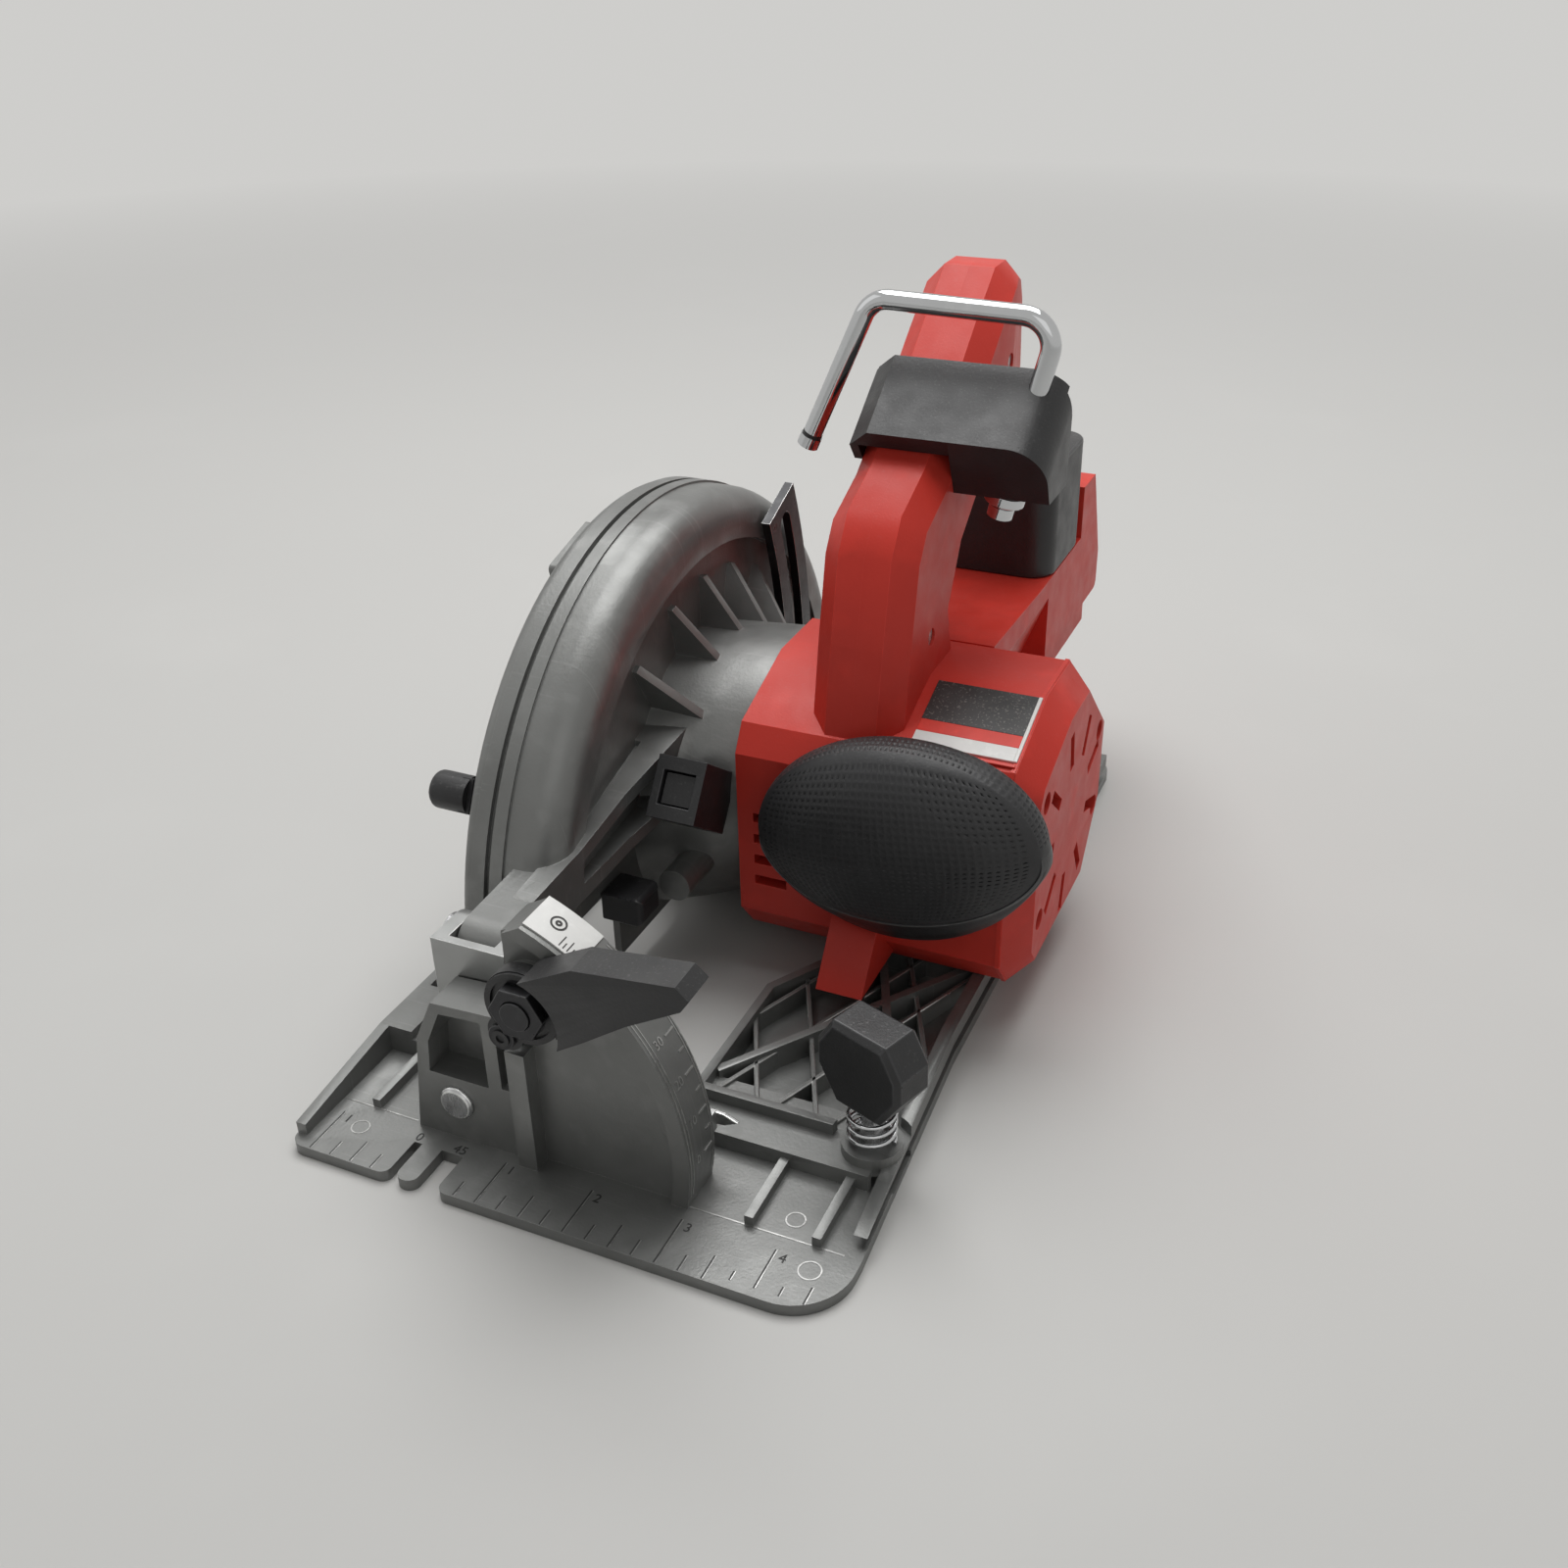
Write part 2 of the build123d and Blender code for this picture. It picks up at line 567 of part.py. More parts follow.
HUB_FRONT = TOWER_FRONT - SLIDE - HUB_T
with BuildPart() as lock_bolt:
    stud(HUB_FRONT - NUT_T - 0.6, SECTOR_REAR + SLIDE, LOCK_BOLT_R, LOCK_POINT)
    stud(SECTOR_REAR + SLIDE, SECTOR_REAR + SLIDE + 4, LOCK_HEAD_R, LOCK_POINT)
save(lock_bolt, "lock_bolt")

# Bevel lock lever with its nut and screw
LEVER_SCREW = (LOCK_POINT[0] - 6, LOCK_POINT[1] - 9.5)
with BuildPart() as bevel_lever:
    with BuildSketch(front(TOWER_FRONT - SLIDE)) as hub:
        with Locations(LOCK_POINT):
            Circle(LOCK_HUB_R)
        with Locations(LEVER_SCREW):
            Circle(5)
    extrude(hub.sketch, amount=HUB_T)
    with BuildSketch(front(HUB_FRONT + LEVER_BACK)) as grip:
        with BuildLine():
            Polyline((LOCK_POINT[0] + 8.5, LOCK_POINT[1] - 7), (LOCK_POINT[0] + 20, LOCK_POINT[1] + 0.5),
                     (LOCK_POINT[0] + 32, LOCK_POINT[1] + 9), (LOCK_POINT[0] + 46.5, LOCK_POINT[1] + 17.5),
                     (LOCK_POINT[0] + 48.8, LOCK_POINT[1] + 21), (LOCK_POINT[0] + 45.5, LOCK_POINT[1] + 24),
                     (LOCK_POINT[0] + 19, LOCK_POINT[1] + 21), (LOCK_POINT[0] + 4, LOCK_POINT[1] + 13), close=True)
        make_face()
    extrude(grip.sketch, amount=LEVER_W)
    stud(HUB_FRONT - LEVER_W, HUB_FRONT, SHOULDER_R, LOCK_POINT, Mode.SUBTRACT)
    stud(HUB_FRONT - LEVER_W, TOWER_FRONT, LOCK_BOLT_R + RUN, LOCK_POINT, Mode.SUBTRACT)
    stud(HUB_FRONT - 1, HUB_FRONT + HUB_T, 2.0, LEVER_SCREW, Mode.SUBTRACT)
save(bevel_lever, "bevel_lever")

with BuildPart() as lever_nut:
    with BuildSketch(front(HUB_FRONT)) as hexagon:
        with Locations(LOCK_POINT):
            RegularPolygon(LOCK_BOLT_R + 2.6, 6, major_radius=False)
            Circle(LOCK_BOLT_R + RUN, mode=Mode.SUBTRACT)
    extrude(hexagon.sketch, amount=NUT_T)
save(lever_nut, "lever_nut")

with BuildPart() as lever_screw:
    stud(HUB_FRONT, HUB_FRONT + HUB_T, 2.0, LEVER_SCREW)
    stud(HUB_FRONT - 2, HUB_FRONT, 3.6, LEVER_SCREW)
save(lever_screw, "lever_screw")

# Rip-fence knob, its screw and its spring
KNOB_BOTTOM = BOSS_TOP + KNOB_GAP
KNOB_PLANE = Plane(origin=(KNOB_X, KNOB_Y, KNOB_BOTTOM), x_dir=(cos(radians(KNOB_TURN)), sin(radians(KNOB_TURN)), 0),
                   z_dir=(sin(radians(KNOB_TURN)), -cos(radians(KNOB_TURN)), 0))
with BuildPart() as fence_knob:
    with BuildSketch(KNOB_PLANE.offset(-KNOB_T / 2)) as profile:
        with BuildLine():
            Polyline((-KNOB_FOOT / 2, 0), (KNOB_FOOT / 2, 0), (KNOB_LONG / 2, KNOB_H * 0.4),
                     (KNOB_LONG / 2, KNOB_H * 0.68), (KNOB_CROWN / 2, KNOB_H), (-KNOB_CROWN / 2, KNOB_H),
                     (-KNOB_LONG / 2, KNOB_H * 0.68), (-KNOB_LONG / 2, KNOB_H * 0.4), close=True)
        make_face()
    extrude(profile.sketch, amount=KNOB_T)
    for face in (fence_knob.faces().sort_by(Axis.Y)[0], fence_knob.faces().sort_by(Axis.Y)[-1]):
        chamfer(face.edges(), KNOB_CHAMFER)
    post(KNOB_BOTTOM, KNOB_BOTTOM + KNOB_H / 2, KNOB_SCREW_R, (KNOB_X, KNOB_Y), Mode.SUBTRACT)
save(fence_knob, "fence_knob")

with BuildPart() as fence_screw:
    post(BAR_ROOF + SEAT, KNOB_BOTTOM + KNOB_H / 2, KNOB_SCREW_R, (KNOB_X, KNOB_Y))
save(fence_screw, "fence_screw")

# Spring between boss and knob: straight ends, quarter-turn biarcs between them
SPRING_LOW = BOSS_TOP
SPRING_HIGH = KNOB_BOTTOM - 0.3
SPRING_RISE = (SPRING_HIGH - SPRING_LOW - 2 * SPRING_WIRE - 2 * SPRING_LEAD) / SPRING_QUARTERS


def spring_point(quarter, height):
    """Point on the spring's cylinder after a number of quarter turns."""
    x, y = polar(SPRING_R, 90 * quarter, (KNOB_X, KNOB_Y))
    return Vector(x, y, height)


def spring_dir(quarter):
    """Direction of the wire there."""
    slope = SPRING_RISE / (SPRING_R * pi / 2)
    x, y = polar(1, 90 * quarter + 90)
    return Vector(x, y, slope).normalized()


spring_knots = [(spring_point(0, SPRING_LOW + SPRING_WIRE), Vector(0, 0, 1))]
for quarter in range(SPRING_QUARTERS + 1):
    height = SPRING_LOW + SPRING_WIRE + SPRING_LEAD + quarter * SPRING_RISE
    spring_knots.append((spring_point(quarter + 1, height), spring_dir(quarter + 1)))
spring_knots.append((spring_point(SPRING_QUARTERS + 2, SPRING_HIGH - SPRING_WIRE), Vector(0, 0, 1)))

with BuildPart() as fence_spring:
    with BuildLine() as spring_path:
        Line(spring_point(0, SPRING_LOW), spring_knots[0][0])
        for (p0, d0), (p1, d1) in zip(spring_knots, spring_knots[1:]):
            biarc(p0, d0, p1, d1)
        Line(spring_knots[-1][0], spring_point(SPRING_QUARTERS + 2, SPRING_HIGH))
    with BuildSketch(Plane(origin=spring_point(0, SPRING_LOW), z_dir=(0, 0, 1))):
        Circle(SPRING_WIRE / 2)
    sweep()
save(fence_spring, "fence_spring")

spring_line = spring_path.wire()
spring_samples = [spring_line @ (i / 400) for i in range(401)]
spring_step = spring_line.length / 400
spring_skip = int(3 * SPRING_WIRE / spring_step)
spring_gap = min((a - b).length for i, a in enumerate(spring_samples) for b in spring_samples[i + spring_skip:])
print("fence spring least gap to itself", round(spring_gap - SPRING_WIRE, 2), "mm")

# Tilt bracket: pivot ear, slotted sector and clevis for the depth pin
CLEVIS_LEFT = BEVEL_X - CLEVIS_W / 2
CLEVIS_RIGHT = BEVEL_X + CLEVIS_W / 2
CLEVIS_BASE = DEPTH_Z - ARM_EYE_R - 0.5
CLEVIS_REAR = DEPTH_Y + ARM_EYE_R - 1
SLOT_START = LOCK_ANGLE - BEVEL_RANGE - 1
SLOT_END = LOCK_ANGLE + 1
SLOT_MARGIN = 7.0
POINTER_ANGLE = SLOT_START - SLOT_MARGIN + 3
POINTER_ROOT_R = LOCK_R + LOCK_HEAD_R + 1.5
with BuildPart() as tilt_bracket:
    with BuildSketch(front(TILT_REAR)) as ear:
        with Locations(BEVEL):
            Circle(CLEVIS_W / 2)
        with Locations((BEVEL_X, BEVEL_Z)):
            Rectangle(CLEVIS_W, CLEVIS_BASE - BEVEL_Z, align=(Align.CENTER, Align.MIN))
    extrude(ear.sketch, amount=TILT_T)
    block(CLEVIS_LEFT, CLEVIS_RIGHT, TILT_FRONT, CLEVIS_REAR, CLEVIS_BASE - 10, CLEVIS_BASE)
    block(CLEVIS_LEFT, CLEVIS_RIGHT, TILT_FRONT, TILT_FRONT + 2.6, CLEVIS_BASE, DEPTH_Z + 7)
    for x0 in (CLEVIS_LEFT, CLEVIS_RIGHT - CLEVIS_CHEEK):
        block(x0, x0 + CLEVIS_CHEEK, TILT_FRONT, DEPTH_Y, CLEVIS_BASE, DEPTH_Z + 7)
        disc(x0, x0 + CLEVIS_CHEEK, 7, DEPTH)
        block(x0, x0 + CLEVIS_CHEEK, DEPTH_Y, DEPTH_Y + 7, CLEVIS_BASE - 5, DEPTH_Z)
    disc(CLEVIS_LEFT, CLEVIS_RIGHT, DEPTH_PIN_R, DEPTH, Mode.SUBTRACT)
    with BuildSketch(front(SECTOR_REAR)) as sector:
        with Locations(BEVEL):
            Circle(SECTOR_R)
        with BuildLine():
            Polyline(*wedge(SECTOR_R, SLOT_START - SLOT_MARGIN, SLOT_END + SLOT_MARGIN, BEVEL), close=True)
        make_face(mode=Mode.INTERSECT)
    extrude(sector.sketch, amount=SECTOR_T)
    face_plate(SECTOR_FRONT, SECTOR_REAR,
               [polar(SECTOR_R - 4, POINTER_ANGLE + 4, BEVEL), polar(QUAD_R - 1, POINTER_ANGLE + 2.5, BEVEL),
                polar(QUAD_R - 1, POINTER_ANGLE - 2.5, BEVEL), polar(SECTOR_R - 4, POINTER_ANGLE - 3.5, BEVEL)])
    with BuildSketch(front(SECTOR_REAR)) as slot:
        with BuildLine() as slot_line:
            CenterArc(BEVEL, LOCK_R, SLOT_START, SLOT_END - SLOT_START)
        SlotArc(slot_line.edge(), 2 * (LOCK_BOLT_R + SLIDE))
    extrude(slot.sketch, amount=SECTOR_T, mode=Mode.SUBTRACT)
    stud(TILT_FRONT, TILT_REAR, BEVEL_PIN_R + RUN, BEVEL, Mode.SUBTRACT)
save(tilt_bracket, "tilt_bracket")

with BuildPart() as bevel_pointer:
    face_plate(SECTOR_REAR, SECTOR_REAR + 1.2,
               [polar(POINTER_ROOT_R, POINTER_ANGLE + 2.5, BEVEL), polar(QUAD_R + 1, POINTER_ANGLE + 1.5, BEVEL),
                polar(QUAD_R + 5, POINTER_ANGLE, BEVEL), polar(QUAD_R + 1, POINTER_ANGLE - 1.5, BEVEL),
                polar(POINTER_ROOT_R, POINTER_ANGLE - 2.5, BEVEL)])
save(bevel_pointer, "bevel_pointer")

with BuildPart() as depth_pin:
    disc(CLEVIS_LEFT - 2, CLEVIS_RIGHT + 2, DEPTH_PIN_R, DEPTH)
    disc(CLEVIS_LEFT - 2, CLEVIS_LEFT, DEPTH_PIN_R + 2, DEPTH)
save(depth_pin, "depth_pin")

# Depth plate and the rear bracket that carries it
STRIP_TOP = STRIP_BOLT_ANGLE + DEPTH_RANGE
STRIP_BOLT = polar(STRIP_R, STRIP_BOLT_ANGLE, DEPTH)
BAR_LOW = 8.0
BAR_HIGH = 26.0
BAR_FRONT = STRIP_BOLT[0] + 14.0
with BuildPart() as depth_plate:
    with BuildSketch(side(STRIP_X)) as strip:
        with Locations(DEPTH):
            Circle(STRIP_R + STRIP_W / 2)
            Circle(STRIP_R - STRIP_W / 2, mode=Mode.SUBTRACT)
        with BuildLine():
            Polyline(*wedge(STRIP_R + STRIP_W, STRIP_BOLT_ANGLE - STRIP_END, STRIP_TOP + STRIP_END, DEPTH),
                     close=True)
        make_face(mode=Mode.INTERSECT)
    extrude(strip.sketch, amount=STRIP_T)
    block(STRIP_X, STRIP_X + STRIP_T, STRIP_BOLT[0], BAR_FRONT + 14, BAR_LOW, BAR_HIGH)
    with BuildSketch(side(STRIP_X)) as slot:
        with BuildLine() as slot_line:
            CenterArc(DEPTH, STRIP_R, STRIP_BOLT_ANGLE, DEPTH_RANGE)
        SlotArc(slot_line.edge(), 2 * (STRIP_BOLT_R + SLIDE))
    extrude(slot.sketch, amount=STRIP_T, mode=Mode.SUBTRACT)
save(depth_plate, "depth_plate")

BAR_X = STRIP_X + STRIP_T
with BuildPart() as rear_bracket:
    block(BAR_X, BAR_X + 4, BAR_FRONT, EAR_REAR, BAR_LOW, BAR_HIGH)
    with BuildSketch(front(EAR_REAR)) as ear:
        with Locations(BEVEL):
            Circle(BAR_HIGH - BEVEL_Z)
        with Locations((BEVEL_X, BAR_LOW)):
            Rectangle(BAR_X + 4 - BEVEL_X, BAR_HIGH - BAR_LOW, align=(Align.MIN, Align.MIN))
    extrude(ear.sketch, amount=EAR_REAR - EAR_FRONT)
    stud(EAR_FRONT, EAR_REAR, BEVEL_PIN_R + RUN, BEVEL, Mode.SUBTRACT)
save(rear_bracket, "rear_bracket")

# Upper guard, carrying arm and gear case in one casting
ARM_LEFT = CLEVIS_LEFT + CLEVIS_CHEEK + SLIDE
ARM_RIGHT = CLEVIS_RIGHT - CLEVIS_CHEEK - SLIDE
WALL_X = GUARD_IN + GUARD_SIDE_T
LOCK_PLANE = Plane(origin=(LOCK_X, AXIS_Y, AXIS_Z), x_dir=(1, 0, 0),
                   z_dir=(0, cos(radians(LOCK_AIM)), sin(radians(LOCK_AIM))))
BEARING_X = SNOUT_END + 1.0
COVER_X = CASE_END - SMALL_BEARING_W
GEAR_ROOM_R = MODULE * GEAR_TEETH / 2 + 2.5
PINION_ROOM_R = MODULE * PINION_TEETH / 2 + 4.5

# Arm from the depth pivot to the neck, with a rail above and below its web
ARM_TOP = [(DEPTH_Y + 10, DEPTH_Z + 8.5), (45, 61), (68, 67.5), (98, 75.5)]
ARM_FLANK = [(16.5, DEPTH_Y + 10), (17.5, 43), (20, 68), (25, 97)]
ARM_REACH = 30.0
ARM_WEB_X = 14.5
with BuildPart() as arm:
    plate(GUARD_IN, ARM_REACH, [(DEPTH_Y + 10, DEPTH_Z - 7), *ARM_TOP, (106, 62), (84, 51), (50, 46)])
    with BuildSketch(Plane.XY) as flank:
        with BuildLine():
            Polyline((ARM_FLANK[0][0], 0), *ARM_FLANK, (ARM_REACH + 5, 110), (ARM_REACH + 5, 0), close=True)
        make_face()
    extrude(flank.sketch, amount=100, mode=Mode.SUBTRACT)
    plate(ARM_WEB_X, ARM_REACH, [(46, 50.5), (47, 57.2), (68, 63.2), (90, 69), (96, 62), (82, 54.5)], Mode.SUBTRACT)
    plate(GUARD_IN, ARM_WEB_X, [(52, 61), (68, 65.7), (88, 71), (88, 80), (52, 80)], Mode.SUBTRACT)

with BuildPart() as upper_guard:
    disc(GUARD_LEFT, GUARD_RIGHT, GUARD_R, AXIS)
    fillet(upper_guard.edges().group_by(Axis.X)[0], 3)
    fillet(upper_guard.edges().group_by(Axis.X)[-1], GUARD_ROUND)
    disc(GUARD_LEFT + 4, GUARD_LEFT + 13.5, GUARD_R + RIM_BAND, AXIS)
    # Recess of the motor-side face, rim groove, blade space and open ring on the left
    disc(WALL_X, GUARD_RIGHT, GUARD_R - 15, AXIS, Mode.SUBTRACT)
    with BuildSketch(side(GUARD_LEFT + 8)) as groove:
        with Locations(AXIS):
            Circle(GUARD_R + RIM_BAND + 1)
            Circle(GUARD_R - 1, mode=Mode.SUBTRACT)
    extrude(groove.sketch, amount=1.6, mode=Mode.SUBTRACT)
    # Fins sloping from the wall to the neck, neck and spindle boss
    for angle in FIN_ANGLES:
        turn = radians(angle)
        with BuildSketch(Plane(origin=(0, *AXIS), x_dir=(1, 0, 0), z_dir=(0, -sin(turn), cos(turn)))) as fin:
            with BuildLine():
                Polyline((WALL_X - 0.5, NECK_R), (WALL_X - 0.5, FIN_TOP_R), (WALL_X + 1.5, FIN_TOP_R),
                         (FIN_FOOT_X, FIN_FOOT_R), (FIN_FOOT_X, NECK_R), close=True)
            make_face()
        extrude(fin.sketch, amount=FIN_T / 2, both=True)
    with BuildSketch(side(WALL_X)) as neck_root:
        with Locations((MOTOR_Y - 2, MOTOR_Z - 6)):
            Circle(NECK_R)
    with BuildSketch(side(CASE_END)) as neck_end:
        with Locations((MOTOR_Y + 1, MOTOR_Z + 2)):
            Circle(NECK_END_R)
    loft([neck_root.sketch.face(), neck_end.sketch.face()])
    block(WALL_X, CASE_END, AXIS_Y - 60, AXIS_Y + 60, -20, WALL_EDGE_Z, Mode.SUBTRACT)
    disc(GUARD_IN, CASE_END, CASE_BOSS_R, AXIS)
    add(arm.part)
    # Lug on the outer side, boss for the depth bolt, small boss at the front
    with BuildSketch(side(GUARD_LEFT - 3.4)) as lug:
        with Locations(polar(89, 104, AXIS)):
            RectangleRounded(24, 18, 1.5, rotation=14)
    extrude(lug.sketch, amount=4.4)
    disc(GUARD_IN, STRIP_X - SLIDE, 8, STRIP_BOLT)
    stud(76, 100, 5, (LOCK_X - 4, 34))
    # Free space inside
    disc(-GUARD_IN - 0.5, GUARD_IN, GUARD_SPACE_R, AXIS, Mode.SUBTRACT)
    disc(GUARD_LEFT - 4, 0, GUARD_RING_R, AXIS, Mode.SUBTRACT)
    block(GUARD_LEFT - 4, GUARD_IN, AXIS_Y - GUARD_R - 2, AXIS_Y + GUARD_R + 2, -GUARD_R, GUARD_EDGE_Z, Mode.SUBTRACT)
    block(GUARD_IN, GUARD_RIGHT, AXIS_Y - 60, AXIS_Y + 50, -GUARD_R, WALL_EDGE_Z - 4, Mode.SUBTRACT)
    block(GUARD_IN, GUARD_RIGHT, AXIS_Y + 66, AXIS_Y + GUARD_R + 2, -GUARD_R, GUARD_EDGE_Z, Mode.SUBTRACT)
    block(GUARD_IN, GUARD_RIGHT, AXIS_Y + 50, AXIS_Y + 66, -GUARD_R, WALL_EDGE_Z - 3.5, Mode.SUBTRACT)
    block(GUARD_IN, GUARD_RIGHT, AXIS_Y - GUARD_R - 2, AXIS_Y - 60, -GUARD_R, GUARD_EDGE_Z, Mode.SUBTRACT)
    # Eye of the arm on the depth pin
    disc(ARM_LEFT, ARM_RIGHT, ARM_EYE_R, DEPTH)
    plate(ARM_LEFT, ARM_RIGHT, [(DEPTH_Y, DEPTH_Z - ARM_EYE_R), (AXIS_Y - GUARD_R + 4, DEPTH_Z - 6),
                                (AXIS_Y - GUARD_R + 7, DEPTH_Z + 9), (DEPTH_Y, DEPTH_Z + ARM_EYE_R)])
    disc(ARM_LEFT, ARM_RIGHT, DEPTH_PIN_R + RUN, DEPTH, Mode.SUBTRACT)
    # Spindle snout with its bores, gear room and seat of the bearing plate
    disc(SNOUT_END, GUARD_IN, SNOUT_R, AXIS)
    disc(SNOUT_END, BEARING_X + BEARING_W, BEARING_R, AXIS, Mode.SUBTRACT)
    disc(BEARING_X + BEARING_W, CASE_END, BEARING_R - 3, AXIS, Mode.SUBTRACT)
    disc(GEAR_X - 3, CASE_END, GEAR_ROOM_R, AXIS, Mode.SUBTRACT)
    disc(GEAR_X - 3, CASE_END, PINION_ROOM_R, MOTOR, Mode.SUBTRACT)
    block(GEAR_X - 3, CASE_END, AXIS_Y - PINION_ROOM_R, AXIS_Y + PINION_ROOM_R, AXIS_Z, MOTOR_Z, Mode.SUBTRACT)
    disc(COVER_X, CASE_END, COVER_R + SEAT / 2, (MOTOR_Y, MOTOR_Z - 7), Mode.SUBTRACT)
    # Seat and bore of the spindle lock
    with BuildSketch(LOCK_PLANE.offset(LOCK_SEAT_R)) as seat:
        Rectangle(LOCK_W + SEAT, LOCK_H + SEAT)
    extrude(seat.sketch, amount=30, mode=Mode.SUBTRACT)
    with BuildSketch(LOCK_PLANE.offset(GEAR_ROOM_R - 2)) as bore:
        Circle(LOCK_PIN_R + 0.1)
    extrude(bore.sketch, amount=40, mode=Mode.SUBTRACT)
    # Threaded hole of the depth bolt
    disc(GUARD_IN, STRIP_X, STRIP_BOLT_R, STRIP_BOLT, Mode.SUBTRACT)
save(upper_guard, "upper_guard")

# Pieces fixed to the casting
with BuildPart() as guard_retainer:
    disc(SNOUT_END + 0.2, SNOUT_END + 1.1, SNOUT_R + 3, AXIS)
    disc(SNOUT_END + 0.2, SNOUT_END + 1.1, SNOUT_R, AXIS, Mode.SUBTRACT)
save(guard_retainer, "guard_retainer")

with BuildPart() as spindle_bearing_front:
    disc(BEARING_X, BEARING_X + BEARING_W, BEARING_R, AXIS)
    disc(BEARING_X, BEARING_X + BEARING_W, SPINDLE_R + RUN, AXIS, Mode.SUBTRACT)
save(spindle_bearing_front, "spindle_bearing_front")

with BuildPart() as bearing_plate:
    disc(COVER_X, CASE_END, COVER_R, (MOTOR_Y, MOTOR_Z - 7))
    disc(COVER_X, CASE_END, SMALL_BEARING_R, MOTOR, Mode.SUBTRACT)
    disc(COVER_X, CASE_END, TAIL_BEARING_R, AXIS, Mode.SUBTRACT)
save(bearing_plate, "bearing_plate")

with BuildPart() as spindle_bearing_rear:
    disc(COVER_X, CASE_END, TAIL_BEARING_R, AXIS)
    disc(COVER_X, CASE_END, SPINDLE_TAIL_R + RUN, AXIS, Mode.SUBTRACT)
save(spindle_bearing_rear, "spindle_bearing_rear")

with BuildPart() as motor_bearing_front:
    disc(COVER_X, CASE_END, SMALL_BEARING_R, MOTOR)
    disc(COVER_X, CASE_END, SHAFT_R + RUN, MOTOR, Mode.SUBTRACT)
save(motor_bearing_front, "motor_bearing_front")

with BuildPart() as bumper:
    block(WALL_X, WALL_X + 13, 62, 74, 27, 36)
    fillet(bumper.edges().group_by(Axis.X)[-1], 2)
save(bumper, "bumper")

with BuildPart() as lock_housing:
    with BuildSketch(LOCK_PLANE.offset(LOCK_SEAT_R)) as base:
        Rectangle(LOCK_W, LOCK_H)
    extrude(base.sketch, amount=LOCK_FACE_R - LOCK_SEAT_R)
    with BuildSketch(LOCK_PLANE.offset(LOCK_SEAT_R + 4)) as pocket:
        Rectangle(LOCK_KEY + 2 * SLIDE, LOCK_KEY + 2 * SLIDE)
    extrude(pocket.sketch, amount=40, mode=Mode.SUBTRACT)
    with BuildSketch(LOCK_PLANE.offset(LOCK_SEAT_R)) as bore:
        Circle(LOCK_PIN_R + 0.1)
    extrude(bore.sketch, amount=6, mode=Mode.SUBTRACT)
save(lock_housing, "lock_housing")

GEAR_TIP_R = MODULE * (GEAR_TEETH / 2 + TOOTH_TIP)
PIN_TIP = GEAR_TIP_R + SLIDE + LOCK_TRAVEL
KEY_FACE = LOCK_FACE_R - LOCK_RECESS
with BuildPart() as spindle_lock_button:
    with BuildSketch(LOCK_PLANE.offset(LOCK_SEAT_R + 4 + LOCK_TRAVEL + SLIDE)) as key:
        Rectangle(LOCK_KEY, LOCK_KEY)
    extrude(key.sketch, amount=KEY_FACE - LOCK_SEAT_R - 4 - LOCK_TRAVEL - SLIDE)
    with BuildSketch(LOCK_PLANE.offset(PIN_TIP)) as pin:
        Circle(LOCK_PIN_R)
    extrude(pin.sketch, amount=LOCK_SEAT_R + 10 - PIN_TIP)
save(spindle_lock_button, "spindle_lock_button")

# Depth lock bolt and lever
LEVER_IN = BAR_X + SLIDE
with BuildPart() as depth_bolt:
    disc(GUARD_IN + 0.3, LEVER_IN + 12, STRIP_BOLT_R, STRIP_BOLT)
save(depth_bolt, "depth_bolt")

with BuildPart() as depth_lever:
    disc(LEVER_IN, LEVER_IN + 10, 8.5, STRIP_BOLT)
    plate(LEVER_IN + 4.5, LEVER_IN + 10,
          [(STRIP_BOLT[0] - 4, STRIP_BOLT[1] + 7), (STRIP_BOLT[0] + 6, STRIP_BOLT[1] - 6),
           (STRIP_BOLT[0] + 38, STRIP_BOLT[1] + 22), (STRIP_BOLT[0] + 40, STRIP_BOLT[1] + 32),
           (STRIP_BOLT[0] + 32, STRIP_BOLT[1] + 34)])
    disc(LEVER_IN, LEVER_IN + 10, STRIP_BOLT_R + RUN, STRIP_BOLT, Mode.SUBTRACT)
save(depth_lever, "depth_lever")

# Lower guard, swung open, and its retract lever
with BuildPart() as lower_guard:
    with BuildSketch(side(-SHELL_HALF)) as rim:
        with Locations(AXIS):
            Circle(SHELL_R)
            Circle(SHELL_R - SHELL_T, mode=Mode.SUBTRACT)
        with BuildLine():
            Polyline(*wedge(SHELL_R, SHELL_START, SHELL_END, AXIS, 24), close=True)
        make_face(mode=Mode.INTERSECT)
    extrude(rim.sketch, amount=2 * SHELL_HALF)
    with BuildSketch(side(-SHELL_HALF)) as left_wall:
        with Locations(AXIS):
            Circle(SHELL_R - 0.5)
            Circle(SHELL_RING_R, mode=Mode.SUBTRACT)
        with BuildLine():
            Polyline(*wedge(SHELL_R, SHELL_START, SHELL_END, AXIS, 24), close=True)
        make_face(mode=Mode.INTERSECT)
    extrude(left_wall.sketch, amount=SHELL_T)
    with BuildSketch(side(SHELL_HALF - SHELL_T)) as right_wall:
        with Locations(AXIS):
            Circle(SHELL_R - 0.5)
        with BuildLine():
            Polyline(*wedge(SHELL_R, SHELL_START, SHELL_END, AXIS, 24), close=True)
        make_face(mode=Mode.INTERSECT)
        with Locations(AXIS):
            Circle(HUB_R)
    extrude(right_wall.sketch, amount=SHELL_T)
    disc(SNOUT_END + 1.1 + SEAT, SHELL_HALF, HUB_R, AXIS)
    disc(SNOUT_END + 1.1 + SEAT, SHELL_HALF, SNOUT_R + RUN, AXIS, Mode.SUBTRACT)
save(lower_guard, "lower_guard")

